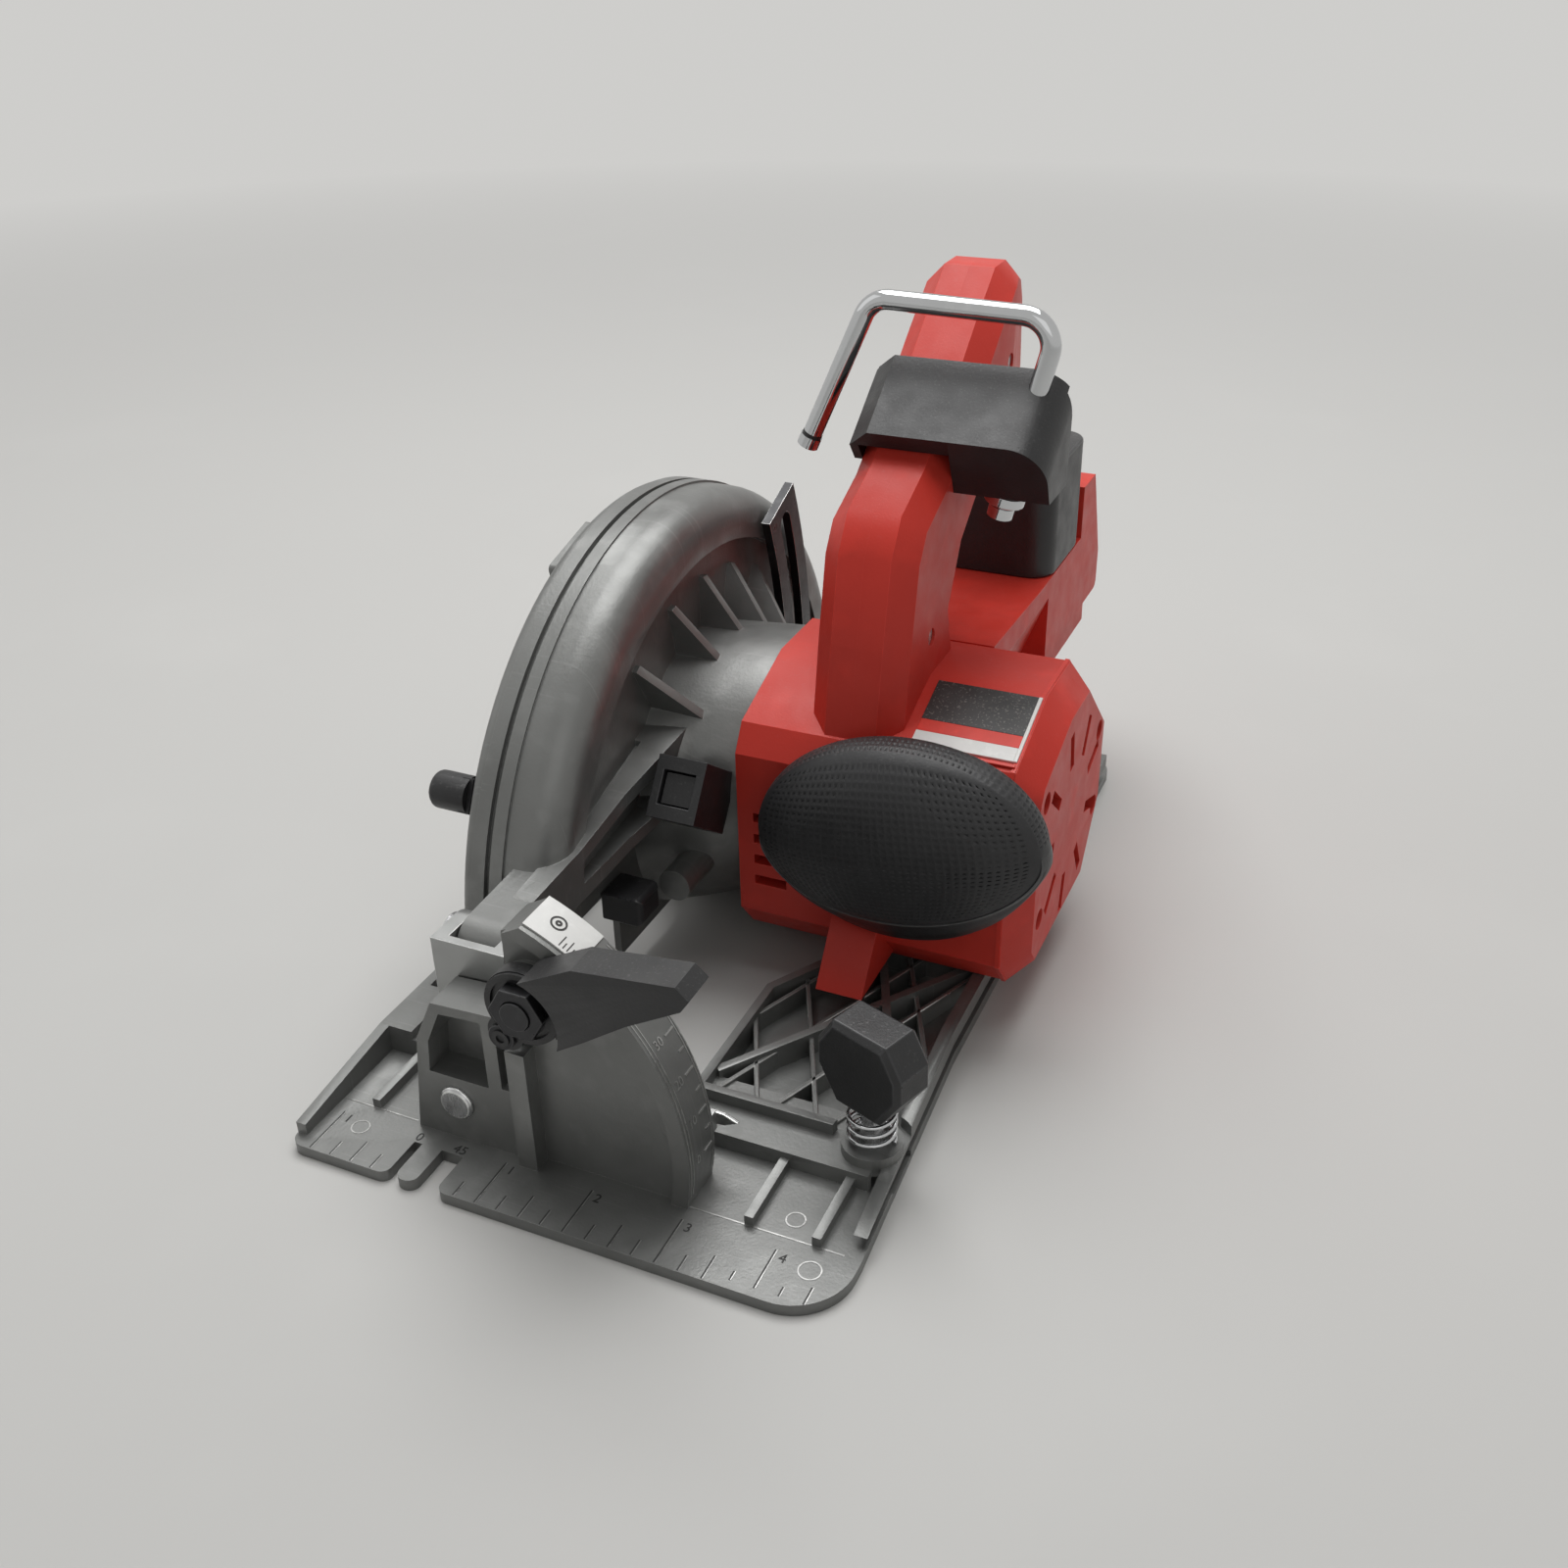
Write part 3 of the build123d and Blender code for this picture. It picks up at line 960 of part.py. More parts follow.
LEVER_ROOT = polar(SHELL_RING_R + 5, LEVER_ANGLE, AXIS)
LEVER_TIP = polar(LEVER_KNOB_R, LEVER_ANGLE, AXIS)
with BuildPart() as guard_lever:
    disc(LEVER_X, -SHELL_HALF, 4.5, LEVER_ROOT)
    plate(LEVER_X - 3.5, LEVER_X,
          [polar(SHELL_RING_R, LEVER_ANGLE + 4, AXIS), polar(LEVER_KNOB_R + 3, LEVER_ANGLE + 3, AXIS),
           polar(LEVER_KNOB_R + 3, LEVER_ANGLE - 3, AXIS), polar(SHELL_RING_R, LEVER_ANGLE - 4, AXIS)])
    disc(LEVER_X - 13, LEVER_X - 1, 5.5, LEVER_TIP)
    fillet(guard_lever.edges().group_by(Axis.X)[0], 2)
save(guard_lever, "guard_lever")

# Spindle group
SPINDLE_END = -BLADE_GAP / 2
FLANGE_IN_X = BLADE_GAP / 2
GEAR_ROOT_R = MODULE * (GEAR_TEETH / 2 - TOOTH_ROOT)
with BuildPart() as spindle:
    disc(SPINDLE_END, COVER_X - 1, SPINDLE_R, AXIS)
    disc(COVER_X - 1, CASE_END - 0.5, SPINDLE_TAIL_R, AXIS)
    disc(SPINDLE_END, SPINDLE_END + 16, BOLT_R, AXIS, Mode.SUBTRACT)
save(spindle, "spindle")

with BuildPart() as inner_flange:
    disc(FLANGE_IN_X, FLANGE_IN_X + FLANGE_IN_T, FLANGE_R, AXIS)
    disc(FLANGE_IN_X, FLANGE_IN_X + FLANGE_IN_T, SPINDLE_R, AXIS, Mode.SUBTRACT)
save(inner_flange, "inner_flange")

with BuildPart() as outer_flange:
    disc(SPINDLE_END - FLANGE_OUT_T, SPINDLE_END, FLANGE_R, AXIS)
    chamfer(outer_flange.edges().group_by(Axis.X)[0], 1.2)
    disc(SPINDLE_END - FLANGE_OUT_T, SPINDLE_END, BOLT_R, AXIS, Mode.SUBTRACT)
save(outer_flange, "outer_flange")

BOLT_X = SPINDLE_END - FLANGE_OUT_T
with BuildPart() as blade_bolt:
    with BuildSketch(side(BOLT_X - 7)) as head:
        with Locations(AXIS):
            RegularPolygon(BOLT_AF / 2, 6, major_radius=False)
    extrude(head.sketch, amount=7)
    disc(BOLT_X - 1.6, BOLT_X, BOLT_AF / 2 + 3, AXIS)
    disc(BOLT_X, SPINDLE_END + 15, BOLT_R, AXIS)
save(blade_bolt, "blade_bolt")

with BuildPart() as driven_gear:
    plate(GEAR_X, GEAR_X + GEAR_W, shifted(toothed(GEAR_TEETH, GEAR_TIP_R, GEAR_ROOT_R, 90 + 180 / GEAR_TEETH), AXIS))
    disc(GEAR_X, GEAR_X + GEAR_W, SPINDLE_R, AXIS, Mode.SUBTRACT)
save(driven_gear, "driven_gear")

# Rotor group
PINION_TIP_R = MODULE * (PINION_TEETH / 2 + TOOTH_TIP)
PINION_ROOT_R = MODULE * (PINION_TEETH / 2 - TOOTH_ROOT)
with BuildPart() as rotor_shaft:
    plate(GEAR_X, GEAR_X + GEAR_W, shifted(toothed(PINION_TEETH, PINION_TIP_R, PINION_ROOT_R, -90), MOTOR))
    disc(GEAR_X + GEAR_W, BORE_END + END_BEARING_W, SHAFT_R, MOTOR)
save(rotor_shaft, "rotor_shaft")

with BuildPart() as rotor_core:
    disc(CORE_X, CORE_X + CORE_L, CORE_R, MOTOR)
    disc(CORE_X, CORE_X + CORE_L, SHAFT_R, MOTOR, Mode.SUBTRACT)
save(rotor_core, "rotor_core")

FAN_BLADES = 9
with BuildPart() as cooling_fan:
    disc(FAN_X, FAN_X + 2, FAN_R, MOTOR)
    disc(FAN_X, FAN_X + FAN_W, SHAFT_R + 6, MOTOR)
    for i in range(FAN_BLADES):
        angle = 360 / FAN_BLADES * i
        rib(side(FAN_X + 2), polar(SHAFT_R + 5, angle, MOTOR), polar(FAN_R - 2, angle + 20, MOTOR), 1.6, FAN_W - 2)
    disc(FAN_X, FAN_X + FAN_W, SHAFT_R, MOTOR, Mode.SUBTRACT)
save(cooling_fan, "cooling_fan")

# Motor housing with its stator
HOUSE_LINE = [(HOUSE_FRONT + 8, HOUSE_BOTTOM), (HOUSE_FRONT, HOUSE_BOTTOM + 10), (HOUSE_FRONT, HOUSE_TOP - 18),
              (HOUSE_FRONT + 5, HOUSE_TOP - 10), (HOUSE_FRONT + 33, HOUSE_TOP), (HOUSE_REAR - 27, HOUSE_TOP), (HOUSE_REAR, HOUSE_TOP - 25),
              (HOUSE_REAR, HOUSE_BOTTOM + 24), (HOUSE_REAR - 19, HOUSE_BOTTOM)]
with BuildPart() as house_shape:
    plate(CASE_END, HOUSE_END, HOUSE_LINE)
    chamfer(house_shape.edges().group_by(Axis.X)[-1], HOUSE_CHAMFER)
    plate(76, 90, [(70, HOUSE_BOTTOM + 2), (HOUSE_FRONT + 20, HOUSE_BOTTOM + 2), (HOUSE_FRONT + 20, 44), (84, 34)])

SCREW_INSET = 13.0
SCREWS = [(HOUSE_FRONT + SCREW_INSET, HOUSE_BOTTOM + 20), (HOUSE_FRONT + SCREW_INSET, HOUSE_TOP - 22),
          (HOUSE_REAR - SCREW_INSET, HOUSE_BOTTOM + 26), (HOUSE_REAR - SCREW_INSET, HOUSE_TOP - 28)]
with BuildPart() as motor_housing:
    add(house_shape.part)
    disc(CASE_END, BORE_END, HOUSE_BORE + SEAT, MOTOR, Mode.SUBTRACT)
    disc(BORE_END, BORE_END + END_BEARING_W, SMALL_BEARING_R, MOTOR, Mode.SUBTRACT)
    # Air slots in the end, and in the front near the gear case
    for angle in range(20, 360, 40):
        rib(side(BORE_END), polar(18, angle, MOTOR), polar(30, angle, MOTOR), 3.6, HOUSE_END - BORE_END, Mode.SUBTRACT)
    for z in (32, 39, 46, 53):
        block(CASE_END + 5, CASE_END + 15, HOUSE_FRONT - 2, HOUSE_FRONT + 12, z, z + 3, Mode.SUBTRACT)
    for centre in SCREWS:
        disc(HOUSE_END - HOUSE_CHAMFER, HOUSE_END, SCREW_HEAD_R, centre, Mode.SUBTRACT)
save(motor_housing, "motor_housing")

with BuildPart() as housing_screws:
    for centre in SCREWS:
        disc(HOUSE_END - HOUSE_CHAMFER, HOUSE_END - HOUSE_CHAMFER / 2, SCREW_HEAD_R, centre)
save(housing_screws, "housing_screws")

with BuildPart() as stator:
    disc(CORE_X, CORE_X + CORE_L, HOUSE_BORE, MOTOR)
    disc(CORE_X, CORE_X + CORE_L, CORE_R + AIR_GAP, MOTOR, Mode.SUBTRACT)
save(stator, "stator")

with BuildPart() as motor_bearing_rear:
    disc(BORE_END, BORE_END + END_BEARING_W, SMALL_BEARING_R, MOTOR)
    disc(BORE_END, BORE_END + END_BEARING_W, SHAFT_R + RUN, MOTOR, Mode.SUBTRACT)
save(motor_bearing_rear, "motor_bearing_rear")

# Bare plate on the slope of the housing's top
SLOPE_LOW = Vector(*HOUSE_LINE[3])
SLOPE_DIR = (Vector(*HOUSE_LINE[4]) - SLOPE_LOW).normalized()
LABEL_UP = Vector(-SLOPE_DIR.Y, SLOPE_DIR.X) * LABEL_T
LABEL_A = SLOPE_LOW + SLOPE_DIR * 3
LABEL_B = LABEL_A + SLOPE_DIR * LABEL_W
with BuildPart() as label_plate:
    plate(HANDLE_RIGHT + 3, HOUSE_END - HOUSE_CHAMFER - 2,
          [(p.X, p.Y) for p in (LABEL_A, LABEL_B, LABEL_B + LABEL_UP, LABEL_A + LABEL_UP)])
save(label_plate, "label_plate")

# Front pommel grip
with BuildPart() as pommel_grip:
    with BuildSketch(front(POMMEL_BACK)) as oval:
        with Locations((POMMEL_X, POMMEL_Z)):
            Ellipse(POMMEL_A, POMMEL_B, rotation=POMMEL_TURN)
    extrude(oval.sketch, amount=POMMEL_BACK - POMMEL_FRONT)
    fillet(pommel_grip.edges().group_by(Axis.Y)[0], POMMEL_ROUND)
    add(house_shape.part, mode=Mode.SUBTRACT)
save(pommel_grip, "pommel_grip")

# Handle halves
GRIP_LINE = [(93, 74), (POST_FOOT_REAR, HOUSE_TOP - 6), (POST_FOOT_REAR, HOUSE_TOP + 0.1), (142, 106), (150, 120),
             (165, 131), (190, 143), (BLOCK_FRONT, 146), (BLOCK_FRONT, BLOCK_TOP), (GRIP_REAR - 1, BLOCK_TOP),
             (GRIP_REAR, 153), (219, 172), (207, 184.5), (196, 190.5), (186, 190.5), (170, 179), (150, 163.5),
             (130, 149.5), (112, 142), (105, 132), (99.5, 108)]
HOLLOW_LINE = [(112, 98), (137, 98), (135, 108), (144, 124), (162, 137), (186, 149), (196, 152), (196, 184),
               (188, 184), (173, 173), (153, 157.5), (133, 143), (124, 136.5), (118, 127), (110, 106)]
TRIGGER_P = Vector(152, 121.5)
TRIGGER_Q = Vector(166, 131.7)
TRIGGER_ALONG = (TRIGGER_Q - TRIGGER_P).normalized()
TRIGGER_IN_DIR = Vector(-TRIGGER_ALONG.Y, TRIGGER_ALONG.X)


def trigger_box(before, after, low, high):
    """Outline along the trigger: past its two ends, and from low to high into the grip."""
    a = TRIGGER_P - TRIGGER_ALONG * before
    b = TRIGGER_Q + TRIGGER_ALONG * after
    corners = [a + TRIGGER_IN_DIR * low, b + TRIGGER_IN_DIR * low, b + TRIGGER_IN_DIR * high, a + TRIGGER_IN_DIR * high]
    return [(c.X, c.Y) for c in corners]


def free_edge(edge):
    """Whether an edge of the handle's outline is clear of the housing and the rear block."""
    middle = edge.center()
    on_block = middle.Y > BLOCK_FRONT - 1 and middle.Z < BLOCK_TOP + 1
    in_front = middle.Y < POST_FOOT_REAR - 10 and middle.Z > HOUSE_TOP - 6
    return not on_block and (in_front or middle.Z > HOUSE_TOP + 2)


def rear_taper(s):
    """Cut the grip's rear to a wedge in plan, on the side s of the middle."""
    flank = HANDLE_X + s * (HANDLE_W / 2 + 1)
    with BuildSketch(Plane.XY.offset(BLOCK_TOP + TAPER_RISE)) as corner:
        with BuildLine():
            Polyline((flank, TAPER_START), (HANDLE_X + s * TAPER_END_W / 2, GRIP_REAR + 1), (flank, GRIP_REAR + 1),
                     close=True)
        make_face()
    extrude(corner.sketch, amount=HANDLE_W * 4, mode=Mode.SUBTRACT)


HANDLE_SCREWS = [(122, 104), (142, 146), (186, 164)]
with BuildPart() as handle_left:
    with BuildSketch(side(HANDLE_LEFT)) as shape:
        with BuildLine():
            Polyline(*GRIP_LINE, close=True)
        make_face()
    extrude(shape.sketch, amount=HANDLE_W / 2)
    chamfer(handle_left.edges().group_by(Axis.X)[0].filter_by(free_edge), HANDLE_CHAMFER)
    rear_taper(-1)
    with BuildSketch(side(HANDLE_LEFT + HANDLE_WALL)) as hollow:
        with BuildLine():
            Polyline(*HOLLOW_LINE, close=True)
        make_face()
    extrude(hollow.sketch, amount=HANDLE_W / 2 - HANDLE_WALL, mode=Mode.SUBTRACT)
    add(house_shape.part, mode=Mode.SUBTRACT)
    plate(HANDLE_X - TRIGGER_W / 2 - SLIDE, HANDLE_X, trigger_box(SLIDE, SLIDE, -6, 10), Mode.SUBTRACT)
    disc(HANDLE_LEFT, HANDLE_X, BUTTON_R + SLIDE / 2, (BUTTON_Y, BUTTON_Z), Mode.SUBTRACT)
save(handle_left, "handle_left")

with BuildPart() as handle_right:
    with BuildSketch(side(HANDLE_X)) as shape:
        with BuildLine():
            Polyline(*GRIP_LINE, close=True)
        make_face()
    extrude(shape.sketch, amount=HANDLE_W / 2)
    chamfer(handle_right.edges().group_by(Axis.X)[-1].filter_by(free_edge), HANDLE_CHAMFER)
    rear_taper(1)
    with BuildSketch(side(HANDLE_X)) as hollow:
        with BuildLine():
            Polyline(*HOLLOW_LINE, close=True)
        make_face()
    extrude(hollow.sketch, amount=HANDLE_W / 2 - HANDLE_WALL, mode=Mode.SUBTRACT)
    add(house_shape.part, mode=Mode.SUBTRACT)
    plate(HANDLE_X, HANDLE_X + TRIGGER_W / 2 + SLIDE, trigger_box(SLIDE, SLIDE, -6, 10), Mode.SUBTRACT)
    disc(HANDLE_X, HANDLE_RIGHT - HANDLE_WALL, BUTTON_R + SLIDE / 2, (BUTTON_Y, BUTTON_Z), Mode.SUBTRACT)
    for centre in HANDLE_SCREWS:
        disc(HANDLE_RIGHT - HANDLE_WALL - 1, HANDLE_RIGHT, 2.6, centre, Mode.SUBTRACT)
save(handle_right, "handle_right")

with BuildPart() as handle_screws:
    for centre in HANDLE_SCREWS:
        disc(HANDLE_RIGHT - HANDLE_WALL, HANDLE_RIGHT - 0.6, 2.6, centre)
save(handle_screws, "handle_screws")

with BuildPart() as trigger:
    plate(HANDLE_X - TRIGGER_W / 2, HANDLE_X + TRIGGER_W / 2, trigger_box(0, 0, -TRIGGER_OUT, TRIGGER_IN))
    fillet(trigger.edges().filter_by(Axis.X).group_by(Axis.Z)[0], 2.5)
save(trigger, "trigger")

with BuildPart() as switch_module:
    plate(HANDLE_LEFT + HANDLE_WALL + SEAT, HANDLE_RIGHT - HANDLE_WALL - SEAT,
          trigger_box(-1, -1, TRIGGER_IN + TRIGGER_TRAVEL + 1, TRIGGER_IN + TRIGGER_TRAVEL + 12))
save(switch_module, "switch_module")

with BuildPart() as lock_off_button:
    disc(HANDLE_LEFT - BUTTON_PROUD, HANDLE_LEFT - BUTTON_PROUD + BUTTON_L, BUTTON_R, (BUTTON_Y, BUTTON_Z))
    chamfer(lock_off_button.edges().filter_by(GeomType.CIRCLE), 0.8)
save(lock_off_button, "lock_off_button")

# Rear block, battery foot, contacts and electronics
with BuildPart() as rear_block:
    block(FOOT_X - BLOCK_W / 2, FOOT_X + BLOCK_W / 2, BLOCK_FRONT, BLOCK_REAR, FOOT_TOP, BLOCK_TOP)
    fillet(rear_block.edges().filter_by(Axis.Z), BLOCK_ROUND)
    block(FOOT_X - BLOCK_W / 2 + BLOCK_WALL, FOOT_X + BLOCK_W / 2 - BLOCK_WALL, BLOCK_FRONT + BLOCK_WALL,
          BLOCK_REAR - BLOCK_WALL, FOOT_TOP, BLOCK_TOP - BLOCK_WALL, Mode.SUBTRACT)
save(rear_block, "rear_block")

with BuildPart() as electronics:
    block(FOOT_X - BLOCK_W / 2 + BLOCK_WALL + SEAT, FOOT_X + BLOCK_W / 2 - BLOCK_WALL - SEAT,
          BLOCK_FRONT + BLOCK_WALL + SEAT, BLOCK_REAR - BLOCK_WALL - SEAT, FOOT_TOP,
          BLOCK_TOP - BLOCK_WALL - BOARD_ROOM)
save(electronics, "electronics")

with BuildPart() as battery_foot:
    plate(FOOT_X - FOOT_W / 2, FOOT_X + FOOT_W / 2,
          [(NECK_FRONT, FOOT_BOTTOM - NECK_DROP), (POST_FOOT_REAR + 0.5, FOOT_BOTTOM),
           (POST_FOOT_REAR + 0.5, HOUSE_TOP - 0.3), (BLOCK_FRONT - 6, FOOT_TOP), (BLOCK_REAR, FOOT_TOP),
           (BLOCK_REAR, SLAB_TOP), (BLOCK_REAR + SLAB_T, SLAB_TOP), (FOOT_REAR, FOOT_TOP - SLAB_SLOPE),
           (FOOT_REAR, FOOT_BOTTOM), (HOUSE_REAR + NECK_DROP, FOOT_BOTTOM), (HOUSE_REAR, FOOT_BOTTOM - NECK_DROP)])
    fillet(battery_foot.edges().filter_by(Axis.X).group_by(Axis.Y)[-1], 3)
    add(house_shape.part, mode=Mode.SUBTRACT)
    for s in (-1, 1):
        flank = FOOT_X + s * (FOOT_W / 2 + 0.1)
        face_plate(POST_FOOT_REAR, RAIL_FRONT - 1, [(flank, NECK_SHOULDER), (flank, FOOT_BOTTOM - NECK_DROP - 1),
                                                    (flank - s * NECK_IN, FOOT_BOTTOM - NECK_DROP - 1)], Mode.SUBTRACT)
    block(FOOT_X - RAIL_W / 2, FOOT_X + RAIL_W / 2, RAIL_FRONT, FOOT_REAR, FOOT_BOTTOM - RAIL_H, FOOT_BOTTOM)
    for s in (-1, 1):
        x = FOOT_X + s * RAIL_W / 2
        block(min(x, x - s * RAIL_GROOVE_D), max(x, x - s * RAIL_GROOVE_D), RAIL_FRONT + 6, FOOT_REAR,
              FOOT_BOTTOM - RAIL_GROOVE - 1, FOOT_BOTTOM - 1, Mode.SUBTRACT)
    block(FOOT_X - TERMINAL_W / 2, FOOT_X + TERMINAL_W / 2, RAIL_FRONT + 2, RAIL_FRONT + 20, FOOT_BOTTOM - RAIL_H,
          FOOT_BOTTOM, Mode.SUBTRACT)
save(battery_foot, "battery_foot")

with BuildPart() as terminal_block:
    block(FOOT_X - TERMINAL_W / 2 + SEAT, FOOT_X + TERMINAL_W / 2 - SEAT, RAIL_FRONT + 2 + SEAT, RAIL_FRONT + 10,
          FOOT_BOTTOM - RAIL_H + 1, FOOT_BOTTOM)
    for x in (-8, -3, 3, 8):
        block(FOOT_X + x - 0.5, FOOT_X + x + 0.5, RAIL_FRONT + 10, RAIL_FRONT + 18, FOOT_BOTTOM - 10, FOOT_BOTTOM - 3)
save(terminal_block, "terminal_block")

# Rafter hook and its clamp
HOOK_LOW = Vector(100, HOOK_Y, 131.8)
HOOK_RIGHT = Vector(114, HOOK_Y, 187.5)
HOOK_LEFT = Vector(61.2, HOOK_Y, 188.8)
HOOK_TIP = Vector(42.4, HOOK_Y - 1, 146)
HOOK_DIR = (HOOK_RIGHT - HOOK_LOW).normalized()
HOOK_PLANE = Plane(origin=HOOK_LOW, x_dir=(0, 1, 0), z_dir=HOOK_DIR)
CLAMP_BOTTOM = 141.0
GRIP_A = Vector(133.5, 152.5)
GRIP_B = Vector(155, 168.1)
GRIP_OUT = Vector(-(GRIP_B - GRIP_A).Y, (GRIP_B - GRIP_A).X).normalized()
CLAMP_A = GRIP_A + GRIP_OUT * CLAMP_T
CLAMP_B = GRIP_B + GRIP_OUT * CLAMP_T


def on_clamp_brow(edge):
    """Whether an edge is the clamp's upper one on the motor side."""
    middle = edge.center()
    return middle.X > CLAMP_RIGHT - 1 and abs(middle.Y - (CLAMP_A.X + CLAMP_B.X) / 2) < 1


def on_clamp_flank(edge):
    """Whether an edge is the clamp's upper one on the blade side."""
    middle = edge.center()
    return middle.X < CLAMP_LEFT + 0.5 and (Vector(middle.Y, middle.Z) - (CLAMP_A + CLAMP_B) / 2).length < 1


with BuildPart() as hook_clamp:
    plate(CLAMP_LEFT, CLAMP_RIGHT, [(GRIP_A.X, GRIP_A.Y), (GRIP_B.X, GRIP_B.Y), (CLAMP_B.X, CLAMP_B.Y),
                                    (CLAMP_A.X, CLAMP_A.Y)])
    plate(HANDLE_RIGHT, CLAMP_RIGHT, [(CLAMP_A.X, CLAMP_A.Y), (CLAMP_B.X, CLAMP_B.Y), (155, 160), (154, CLAMP_BOTTOM),
                                      (137, CLAMP_BOTTOM)])
    fillet(hook_clamp.edges().filter_by(on_clamp_brow), CLAMP_ROUND)
    plate(CLAMP_LEFT, HANDLE_LEFT, [(CLAMP_A.X, CLAMP_A.Y), (CLAMP_B.X, CLAMP_B.Y), (158, 162), (138, 147)])
    chamfer(hook_clamp.edges().filter_by(on_clamp_flank), CLAMP_FLANK)
    with BuildSketch(HOOK_PLANE) as bore:
        Circle(HOOK_R + RUN)
    extrude(bore.sketch, amount=60, mode=Mode.SUBTRACT)
save(hook_clamp, "hook_clamp")

COLLAR_R = HOOK_R + 3
COLLAR_T = 3.0
COLLAR_TOP = (CLAMP_BOTTOM - SLIDE - HOOK_LOW.Z - COLLAR_R * HOOK_DIR.X) / HOOK_DIR.Z
with BuildPart() as rafter_hook:
    with BuildLine() as wire:
        FilletPolyline(HOOK_LOW, HOOK_RIGHT, HOOK_LEFT, HOOK_TIP, radius=HOOK_BEND)
    with BuildSketch(HOOK_PLANE):
        Circle(HOOK_R)
    sweep()
    with BuildSketch(HOOK_PLANE.offset(COLLAR_TOP - COLLAR_T)) as collar:
        Circle(COLLAR_R)
    extrude(collar.sketch, amount=COLLAR_T)
save(rafter_hook, "rafter_hook")
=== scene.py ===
import json
from math import atan2, cos, pi, radians, sin, sqrt

import bmesh
import bpy
from bpy.props import FloatProperty, FloatVectorProperty, IntProperty, PointerProperty
from mathutils import Matrix, Vector


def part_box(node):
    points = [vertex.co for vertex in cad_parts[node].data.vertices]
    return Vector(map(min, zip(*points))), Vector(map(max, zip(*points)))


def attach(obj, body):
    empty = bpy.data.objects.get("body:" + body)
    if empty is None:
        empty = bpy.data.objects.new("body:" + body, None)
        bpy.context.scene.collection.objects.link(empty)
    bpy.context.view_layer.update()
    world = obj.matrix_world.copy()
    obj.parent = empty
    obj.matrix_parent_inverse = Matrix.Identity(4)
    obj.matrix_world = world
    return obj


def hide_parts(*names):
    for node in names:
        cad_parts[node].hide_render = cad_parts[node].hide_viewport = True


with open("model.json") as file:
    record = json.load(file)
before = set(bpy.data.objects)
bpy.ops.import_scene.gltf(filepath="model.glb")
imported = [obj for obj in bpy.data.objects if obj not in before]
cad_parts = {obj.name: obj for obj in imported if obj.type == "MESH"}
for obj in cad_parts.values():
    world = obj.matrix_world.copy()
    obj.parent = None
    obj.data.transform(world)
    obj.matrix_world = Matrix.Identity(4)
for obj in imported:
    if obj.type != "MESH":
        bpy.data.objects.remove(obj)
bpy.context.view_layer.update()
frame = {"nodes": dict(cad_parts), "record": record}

bl_info = {
    "name": "Cordless circular saw",
    "version": (1, 0, 0),
    "blender": (4, 5, 0),
    "location": "View3D > Sidebar > Saw",
    "description": "Builds the finishes and fine pieces of a cordless circular saw around its solids",
    "category": "Object",
}

MM = 0.001
BODY_OF = {node: body for body, nodes in frame["record"]["behaviour"]["bodies"].items() for node in nodes}
SLOT_OF = {part["node"]: part["material_slot"] for part in frame["record"]["subparts"]}

# Places on the solids that the fine pieces sit on, in millimetres
SHOE_FRONT = -30.0
PLATE_TOP = 3.5
QUARTER_INCH = 6.35
RULER_START = -25.4
BEVEL_X, BEVEL_Z = 10.0, 16.0
QUAD_R = 67.0
QUAD_FRONT, QUAD_REAR = -11.0, 3.0
LOCK_X, LOCK_Z = 37.23, 57.93
HUB_FRONT = -15.4
KNOB_X, KNOB_Y = 112.0, 22.0
BOSS_TOP, KNOB_BOTTOM = 11.5, 23.5
POMMEL_X, POMMEL_Z = 96.0, 62.3
POMMEL_A, POMMEL_B = 42.0, 30.0
POMMEL_TURN = 8.0
POMMEL_FRONT = 68.0
SLOPE_Y, SLOPE_Z, SLOPE_TURN = 94.0, 82.5, 19.65
LABEL_LEFT, LABEL_RIGHT = 93.3, 123.3
HOOK_TIP, HOOK_LEFT = (42.4, 147.0, 146.0), (61.2, 148.0, 188.8)
HOOK_LOW, HOOK_RIGHT = (100.0, 148.0, 131.8), (114.0, 148.0, 187.5)
HANDLE_X = 76.5
MOTOR_Y, MOTOR_Z = 131.0, 50.0
SEAM_LEFT, SEAM_RIGHT = 122.6, 123.8

# Tolerances, edge limits and the digits' thickness, in millimetres and degrees
SAME_POINT, SAME_RING_POINT = 0.002, 0.001
FLAT_ANGLE = 0.4
ON_CUT, ON_JOINT = 0.001, 0.05
SHORT_EDGE, SHORT_WEIGHT = 7.0, 0.12
DIGIT_T = 0.04

# Shares of an edge's usual rounding: on knobs, on levers and clamps, on blocks and on fine pieces
KNOBBED = 1.5
HANDLED = 1.6
BROAD = 2.0
FINE = 0.7

# Rounding of the red mouldings: steps, and the angle from which an edge is rounded
MOULD_STEPS, MOULD_ANGLE, FOOT_ANGLE = 4, 33, 20


# Settings

def colour(name, description, value):
    """Colour property with its default."""
    return FloatVectorProperty(name=name, description=description, subtype="COLOR", size=3, min=0, max=1,
                               default=value)


def length(name, description, value):
    """Length property with its default, given in millimetres."""
    return FloatProperty(name=name, description=description, subtype="DISTANCE", unit="LENGTH", min=0,
                         default=value * MM, precision=5)


